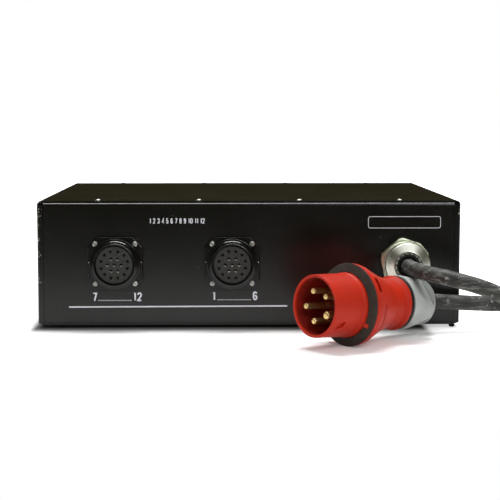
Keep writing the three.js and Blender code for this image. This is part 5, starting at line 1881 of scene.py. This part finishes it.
@dataclass
class ControlField(SubAssembly):
    """Display, buttons and data sockets on the control panel."""

    window_width: float = 46.0
    window_height: float = 17.0
    window_face: float = 360.6
    window_back: float = 348.9
    digit_tall: float = 10.4
    digit_wide: float = 5.6
    digit_pitch: float = 10.0
    segment_half: float = 0.5
    button_radius: float = 3.5
    button_tip: float = 362.5
    sign_drop: float = 8.2
    flange_width: float = 26.0
    flange_height: float = 31.0
    flange: Pair = (360.3, 362.8)
    barrel: float = 11.8
    barrel_back: float = 340.0
    recess: float = 9.2
    recess_floor: float = 348.0
    contact_ring: float = 4.2
    latch_half: float = 3.5
    latch_face: Pair = (362.1, 364.8)

    def digit(self, lit: str, x: float) -> Shape:
        """Light segments of one digit.

        Args:
            lit: the letters of the lit segments, a to g.
            x: the digit's middle.

        Returns:
            The segments.
        """
        side, step, fat = self.digit_wide / 2, self.digit_tall / 4, self.segment_half
        bars = {"a": (0, 2 * step), "g": (0, 0), "d": (0, -2 * step), "f": (side, step),
                "b": (-side, step), "e": (side, -step), "c": (-side, -step)}
        made = Shape()
        for across, up in map(bars.get, lit):
            half = step - 0.25 if across else side - 0.25
            outline = [(-half, 0), (-half + fat, -fat), (half - fat, -fat), (half, 0),
                       (half - fat, fat), (-half + fat, fat)]
            way = -1 if across else 1
            made.add(slab([(x + across + a, LAYOUT.display_z + up + b)
                           for a, b in (point[::way] for point in outline)],
                          self.window_face - 0.2, self.window_face + 0.06))
        return made

    def button(self) -> Shape:
        """Turn one button with a domed tip and a collar behind the panel."""
        radius, tip = self.button_radius, self.button_tip
        return turned([(0, 350.7), (radius, 350.7), (radius, 356.2), (4.6, 356.2), (4.6, 358.2),
                       (radius, 358.2), (radius, tip - 1.1),
                       *arc((radius - 1.0, tip - 1.1), 1.0, 0, 75, 4), (0, tip)], 40)

    def contacts(self, sign: int) -> list[Pair]:
        """Return the middles of a data socket's three contacts, mirrored by a sign of -1."""
        ring = self.contact_ring
        return [(sign * ring, 0), (0, -ring), (-sign * ring, 0)]

    def socket_body(self, x: float, pocket: bool) -> Shape:
        """Make the body of a data socket.

        Args:
            x: its middle.
            pocket: whether it has the deep recess of an inlet.

        Returns:
            The body.
        """
        z = LAYOUT.data_z
        low, high = self.flange
        plate = slab(rounded(self.flange_width, self.flange_height, 3, (x, z)), low, high)
        barrel = rod(self.barrel, self.barrel_back, low + 0.6, (x, z), 64)
        made = combined(eased(plate, 0.5), barrel, Cut.WITH)
        if pocket:
            return carved(made, rod(self.recess, self.recess_floor, high + 2, (x, z), 64))
        ring = turned([(9.4, high - 0.8), (10.3, high - 0.8), (10.3, high + 2), (9.4, high + 2)])
        holes = [rod(1.5, high - 8, high + 2, (x + a, z + b), 20) for a, b in self.contacts(-1)]
        latch = block((x - 3.8, x + 3.8), (high - 4.5, high + 2), (z + 9.9, z + 14.1))
        return carved(carved(made, *holes, latch), ring.moved(x, 0, z))

    def signs(self) -> Shape:
        """Print plain signs under the buttons: a square, two arrows and a dot.

        Returns:
            The print.
        """
        z = LAYOUT.button_z - self.sign_drop
        menu, up, down, enter = LAYOUT.buttons
        square = ring_of(4, 1.3 * math.sqrt(2), (menu, z), math.pi / 4)
        arrows = [[(x - 1.7, z - 1.3 * way), (x + 1.7, z - 1.3 * way), (x, z + 1.6 * way)]
                  for x, way in ((up, 1), (down, -1))]
        return joined(slab(outline, *REAR_PRINT)
                      for outline in (square, *arrows, ring_of(20, 1.5, (enter, z))))

    def build(self) -> None:
        """Make the pieces of the control field."""
        piece, middle, z = self.shop.piece, LAYOUT.board_middle, LAYOUT.display_z
        window = slab(rounded(self.window_width, self.window_height, 0.8, (middle, z)),
                      self.window_back, self.window_face)
        piece("display_lens", eased(window, 0.3), DISPLAY, "display_dark", "display_window")
        digits = joined(self.digit(lit, middle + way * self.digit_pitch)
                        for lit, way in (("abcdef", 1), ("abcdef", 0), ("bc", -1)))
        piece("display_digits", digits, DIGIT, "plug_red")
        for name, x in zip(("menu", "up", "down", "enter"), LAYOUT.buttons):
            piece(f"push_{name}", self.button().moved(x, 0, LAYOUT.button_z), RUBBER,
                  "button_rubber", f"button_{name}", f"button_{name}")
        piece("button_signs", self.signs(), PRINT_WHITE, "case_paint", smooth=20)
        for name, x in (("inlet", LAYOUT.inlet), ("outlet", LAYOUT.outlet)):
            piece(f"data_{name}_body", self.socket_body(x, name == "inlet"), SHELL_BLACK,
                  "socket_black", f"data_{name}")
        self.data_fittings()

    def data_fittings(self) -> None:
        """Make the inlet's pins, the outlet's latch and the flanges' screws."""
        piece, z = self.shop.piece, LAYOUT.data_z
        pin = turned([(0, 347), (1.15, 347), (1.15, 358.4), (0.8, 359.4), (0, 359.7)], 20)
        pins = joined(pin.moved(LAYOUT.inlet + a, 0, z + b) for a, b in self.contacts(1))
        piece("data_inlet_pins", pins, CONTACT, "nickel")
        left, right = LAYOUT.outlet - self.latch_half, LAYOUT.outlet + self.latch_half
        latch = block((left, right), self.latch_face, (z + 10.2, z + 13.8))
        piece("outlet_latch", eased(latch, 0.5), ZINC, "zinc_steel", "data_outlet_latch",
              "data_outlet_latch")
        screws = Screw(2.3, 1.3, 0.5, 1.4).row(
            [(x + side * 9.9, self.flange[1], z + side * 12.4, 30 + x)
             for x in (LAYOUT.inlet, LAYOUT.outlet) for side in SIDES], BACKWARD)
        piece("data_screws", screws, SCREW, "zinc_steel")


@dataclass
class Fan(SubAssembly):
    """The cooling fan: rotor with curved blades, and the wire guard with its screws."""

    rotor_front: float = 336.6
    rotor_depth: float = 19.0
    hub: float = 18.0
    tip: float = 42.5
    blades: int = 7
    blade_sheet: float = 1.7
    blade_steps: int = 8
    guard_y: float = 361.2
    wire: float = 0.9
    outer_ring: float = 43.6
    ring_gap: float = 10.0
    rings: int = 4
    ear: float = 54.0
    eye: float = 3.3
    eye_reach: float = 57.2

    def section(self, share: float) -> list[Vector]:
        """Draw a blade's cambered section: one face forwards, then the other face back.

        Args:
            share: how far out it lies, from the hub to the tip.

        Returns:
            Its points.
        """
        root = self.hub * 0.92
        radius = root + (self.tip - root) * share
        pitch, chord = math.radians(52 - 20 * share), 15 + 3.5 * share
        rows = [j / self.blade_steps - 0.5 for j in range(self.blade_steps + 1)]
        points = []
        for side, row in zip(SIDES, (rows, rows[::-1])):
            for u in row:
                rise = 2.2 * (1 - 4 * u * u) + self.blade_sheet / 2 * (1 - 2.4 * u * u) * side
                y = u * chord * math.sin(pitch) + rise * math.cos(pitch)
                swing = u * chord * math.cos(pitch) - rise * math.sin(pitch)
                angle = (swing + 3 * share) / radius
                points.append(Vector((radius * math.cos(angle), y * 0.88,
                                      radius * math.sin(angle))))
        return points

    def blade(self) -> Shape:
        """Make one cambered and twisted blade along +X, its ends closed strip by strip.

        Returns:
            The blade.
        """
        steps = self.blade_steps
        blade = lofted([self.section(i / steps) for i in range(steps + 1)])
        far = 2 * steps + 1
        ends = (0, steps * (far + 1))
        blade.faces[-2:] = [tuple(end + k for k in (j, j + 1, far - j - 1, far - j))
                            for end in ends for j in range(steps)]
        return blade.moved(0, self.rotor_front + self.rotor_depth / 2, 0)

    def rotor(self) -> Shape:
        """Make the rotor about the Y axis: a hub with a rounded rim, and its blades.

        Returns:
            The rotor.
        """
        low, high, rim = self.rotor_front, self.rotor_front + self.rotor_depth, self.hub
        hub = turned([(2.4, low), (rim - 1, low), (rim, low + 1), (rim, high - 2),
                      *arc((rim - 2, high - 2), 2, 0, 90), (9, high), (8.6, high - 0.4),
                      (0, high - 0.4), (0, high - 4.5), (2.4, high - 4.5)], 64)
        blade = self.blade()
        return hub.add(joined(blade.placed(spun(360 * i / self.blades))
                              for i in range(self.blades)))

    def guard(self) -> Shape:
        """Bend the guard's rings and legs, with an eye at each corner.

        Returns:
            The guard, about the Y axis.
        """
        radii = [self.outer_ring - i * self.ring_gap for i in range(self.rings)]
        made = joined(wire([Vector((a, self.guard_y, b)) for a, b in ring_of(64, radius)],
                           self.wire, 10, True) for radius in radii)
        for a, b in ring_of(4, 1, turn=math.pi / 4):
            ray, seat = Vector((a, 0, b)), Vector((0, self.guard_y + 0.2, 0))
            eye = seat + ray * self.eye_reach - Vector((0, 0.2, 0))
            made.add(wire([seat + ray * radii[-1], seat + ray * self.ear], self.wire, 10))
            made.add(wire([eye + Vector((x, 0, z)) for x, z in ring_of(24, self.eye)], self.wire,
                          8, True))
        return made

    def build(self) -> None:
        """Make the fan's pieces."""
        piece = self.shop.piece
        self.shop.dress(FAN_BLACK, "fan_frame")
        piece("fan_wheel", self.rotor().moved(LAYOUT.fan, 0, MIDDLE), FAN_BLACK, "fan_black",
              "fan_rotor", "fan_rotor")
        piece("fan_wire_guard", self.guard().moved(LAYOUT.fan, 0, MIDDLE), ZINC, "zinc_steel",
              "fan_guard")
        eyes = ring_of(4, self.eye_reach, (LAYOUT.fan, MIDDLE), math.pi / 4)
        screws = Screw(3.3, 2.0).row([(x, self.guard_y + 0.5, z, 40 * i)
                                      for i, (x, z) in enumerate(eyes)], BACKWARD)
        piece("fan_screws", screws, SCREW, "zinc_steel")


@dataclass
class Chokes(SubAssembly):
    """Two boards of six wound ring chokes."""

    left: float = -205.0
    front: float = 60.0
    floor: float = 5.3
    board: float = 1.6
    pitch: float = 42.0
    columns: int = 3
    rows: int = 2
    gap: float = 4.0
    turns: int = 22
    turn_steps: int = 12
    wire: float = 1.1
    ring: float = 13.4
    loop: Pair = (4.4, 8.01)
    lift: float = 9.2

    def choke(self) -> Shape:
        """Wind one choke's wire round its core, lying flat and centred on the Z axis.

        Returns:
            The winding.
        """
        path = []
        count = self.turns * self.turn_steps
        for i in range(count):
            roll, around = FULL * i / self.turn_steps, math.radians(340) * i / count
            radius = self.ring + self.loop[0] * math.cos(roll)
            path.append(Vector((radius * math.cos(around), radius * math.sin(around),
                                self.loop[1] * math.sin(roll) + self.lift)))
        return wire(path, self.wire, 6)

    def build(self) -> None:
        """Make both boards with their cores and windings."""
        piece, winding = self.shop.piece, self.choke()
        core = turned([(10.4, 2.6), (16.4, 2.6), (16.4, 15.8), (10.4, 15.8)], 40)
        core = core.placed(spun(90, "X"))
        wide, deep = self.columns * self.pitch, self.rows * self.pitch
        base = self.floor + self.board
        for name, left in (("left", self.left), ("right", self.left + wide + self.gap)):
            seats = [Matrix.Translation((left + (i % self.columns + 0.5) * self.pitch,
                                         self.front + (i // self.columns + 0.5) * self.pitch, base))
                     @ Matrix.Rotation(i * 1.1, 4, "Z") for i in range(self.columns * self.rows)]
            board = block((left, left + wide), (self.front, self.front + deep), (self.floor, base))
            piece(f"choke_windings_{name}", joined(map(winding.placed, seats)), COPPER,
                  "choke_copper", f"choke_bank_{name}")
            piece(f"choke_cores_{name}", joined(map(core.placed, seats)), CORE_GREY, "insert_grey")
            piece(f"choke_board_{name}", eased(board, 0.3, 1), BOARD, "board_green")


@dataclass
class Studio:
    """The white table, the soft lamps and the camera."""

    eye: Triple = (-24.0, -1406.0, 227.0)
    yaw: float = math.radians(1.01)
    pitch: float = math.radians(5.87)
    focal_share: float = 1355 / 500
    sensor: float = 36.0
    floor_half: float = 6.0
    # The case's footprint, round which the table paints shade and, beside the case, light.
    footprint: Triple = (0.2015, 0.171, 0.0)
    footprint_shift: Triple = (0.0205, 0.0, 0.0)
    table_edge: float = -0.62
    # Levels of the painted light near the case and beside it.
    near_white: float = 0.115
    painted_side_light_level: float = 0.45
    mirrored_white: float = 0.1
    edge_far: float = -0.8
    edge_near: float = -0.2
    low_light: Colour = (0.33, 0.32, 0.3)
    high_light: Colour = (0.42, 0.42, 0.42)
    wall_colour: Colour = (0.027, 0.019, 0.002)
    white: Colour = (1.0, 1.0, 1.0)
    side_start: float = 0.76
    side_white: float = 0.5
    right_share: float = 0.86
    ceiling_start: float = 0.6

    def camera(self) -> None:
        """Set the camera where the photograph was taken from."""
        data = bpy.data.cameras.new("studio_camera")
        data.sensor_width = self.sensor
        data.lens = self.focal_share * self.sensor
        data.clip_start = 0.05
        data.clip_end = 50
        ahead = Vector((math.sin(self.yaw) * math.cos(self.pitch),
                        math.cos(self.yaw) * math.cos(self.pitch), -math.sin(self.pitch)))
        bpy.context.scene.camera = self.aimed(shown(data.name, data), at(*self.eye), ahead)

    def aimed(self, thing: bpy.types.Object, place: Triple, ahead: Vector) -> bpy.types.Object:
        """Point a camera or lamp.

        Args:
            thing: the camera or lamp.
            place: where it stands, in metres.
            ahead: the way it looks.

        Returns:
            The camera or lamp.
        """
        thing.location = place
        thing.rotation_euler = ahead.to_track_quat("-Z", "Y").to_euler()
        return thing

    def lamp(self, name: str, place: Triple, target: Triple, size: Pair, power: float) -> None:
        """Hang a soft rectangular lamp.

        Args:
            name: the lamp's name.
            place: its middle, in metres.
            target: the point it looks at.
            size: its sides.
            power: its watts.
        """
        data = bpy.data.lights.new(name, "AREA")
        data.shape = "RECTANGLE"
        data.size, data.size_y = size
        data.energy = power
        thing = self.aimed(shown(name, data), place, Vector(target) - Vector(place))
        thing.visible_camera = False

    def floor(self) -> None:
        """Lay the white table, which shows bright to the camera and in reflections, with painted
        shade round the case's footprint and painted light beside the case.
        """
        reach, near = self.floor_half, self.table_edge
        mesh = bpy.data.meshes.new("table")
        mesh.from_pydata([(-reach, near, 0), (reach, near, 0), (reach, reach, 0),
                          (-reach, reach, 0)], [], [(0, 1, 2, 3)])
        graph = Graph(bpy.data.materials.new("white_table"))
        place = graph.place()
        colour = graph.mix(graph.noise(place, 900, 4), solid((0.86, 0.86, 0.86)),
                           solid((0.88, 0.88, 0.88)))
        spread: Value = place
        for operation, by in (("ADD", self.footprint_shift), ("ABSOLUTE", (0, 0, 0)),
                              ("SUBTRACT", self.footprint), ("MAXIMUM", (0, 0, 0)),
                              ("MULTIPLY", (2.5, 1, 1))):
            spread = graph.vector(operation, spread, by).outputs[0]
        away = graph.vector("LENGTH", spread).outputs["Value"]
        camera, mirrored = graph.rays()
        # Painted contact shadow: for camera rays the table's colour darkens towards the case's
        # footprint.
        rim = graph.between(away, 0.0, 0.024, -0.78, 0.12)
        shaded = graph.sum("MULTIPLY_ADD", camera, rim, 1.0)
        colour = graph.node("VectorMath", {0: colour, "Scale": shaded}, operation="SCALE")
        matt = graph.node("BsdfDiffuse", {"Color": colour.outputs[0]})
        # Painted light: for camera rays the table glows brighter beside the case's sides, hiding
        # its shadow there, and the near glow fades out towards the footprint, a painted shade.
        painted_side_light = graph.between(graph.part(spread, "X"), 0.0, 0.028, 0.0, self.painted_side_light_level)
        near = graph.sum("ADD", graph.between(away, 0.004, 0.06, 0.0, self.near_white), painted_side_light)
        far = graph.between(away, 0.3, 0.9, 0.0, 1.0)
        seen = graph.sum("MULTIPLY", camera, graph.sum("ADD", near, far))
        ahead = graph.between(graph.part(place, "Y"), self.edge_far, self.edge_near, 0.0,
                              self.mirrored_white)
        strength = graph.sum("MULTIPLY_ADD", mirrored, ahead, seen)
        glow = graph.node("Emission", {"Color": solid(self.white), "Strength": strength})
        both = graph.node("AddShader", {0: matt.outputs[0], 1: glow.outputs[0]})
        mesh.materials.append(graph.close(both.outputs[0]))
        shown("table", mesh)

    def world(self) -> None:
        """Fill the room: white to the camera and overhead, and dim low down in reflections."""
        graph = Graph(bpy.data.worlds.new("studio_room"))
        bpy.context.scene.world = graph.owner
        way = graph.place("Generated")
        height, across = graph.part(way, "Z"), graph.part(way, "X")
        camera, mirrored = graph.rays()
        across = graph.sum("MAXIMUM", graph.sum("MULTIPLY", across, -1.0),
                           graph.sum("MULTIPLY", across, self.right_share))
        open_sides = graph.between(across, self.side_start, 0.96, 0.0, self.side_white)
        lit = graph.sum("MAXIMUM", graph.between(height, self.ceiling_start, 0.9), open_sides)
        room = graph.mix(lit, solid(self.wall_colour), solid(self.white))
        level = graph.mix(graph.between(height, 0.1, 0.75), solid(self.low_light),
                          solid(self.high_light))
        colour = graph.mix(camera, graph.mix(mirrored, level, room), solid(self.white))
        background = graph.node("Background", {"Color": colour, "Strength": 1.0})
        graph.close(background.outputs[0], "OutputWorld")

    def build(self) -> None:
        """Set up the room."""
        self.camera()
        self.floor()
        self.world()
        self.lamp("overhead_softbox", (0.03, 0.15, 1.5), (0.05, -0.15, 0.0), (1.15, 0.42), 25.5)
        self.lamp("front_softbox", (0.8, -1.7, 1.1), (0.1, -0.2, 0.05), (0.7, 0.7), 13.5)
        bpy.context.scene.view_settings.view_transform = "Standard"


def main() -> None:
    """Load the frame, build every sub-assembly on it, and dress the imported nodes that stay as
    they are.
    """
    logging.basicConfig(level=logging.INFO, format="%(message)s")
    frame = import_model()
    shop = Workshop(frame)
    Studio().build()
    plug = Plug(shop)
    MainsCord(shop).build(plug, plug.build())
    for sub_assembly in (Case, FrontPrint, LoadSocket, Gland, Breakers, ControlField, Fan, Chokes):
        sub_assembly(shop).build()
    shop.dress(BOARD, "control_board", "power_module_front", "power_module_rear")
    shop.dress(ZINC, "breaker_rail")
    shop.dress(ALUMINIUM, "heatsink")
    shop.dress(INSERT_GREY, "terminal_block")


if __name__ == "__main__":
    main()
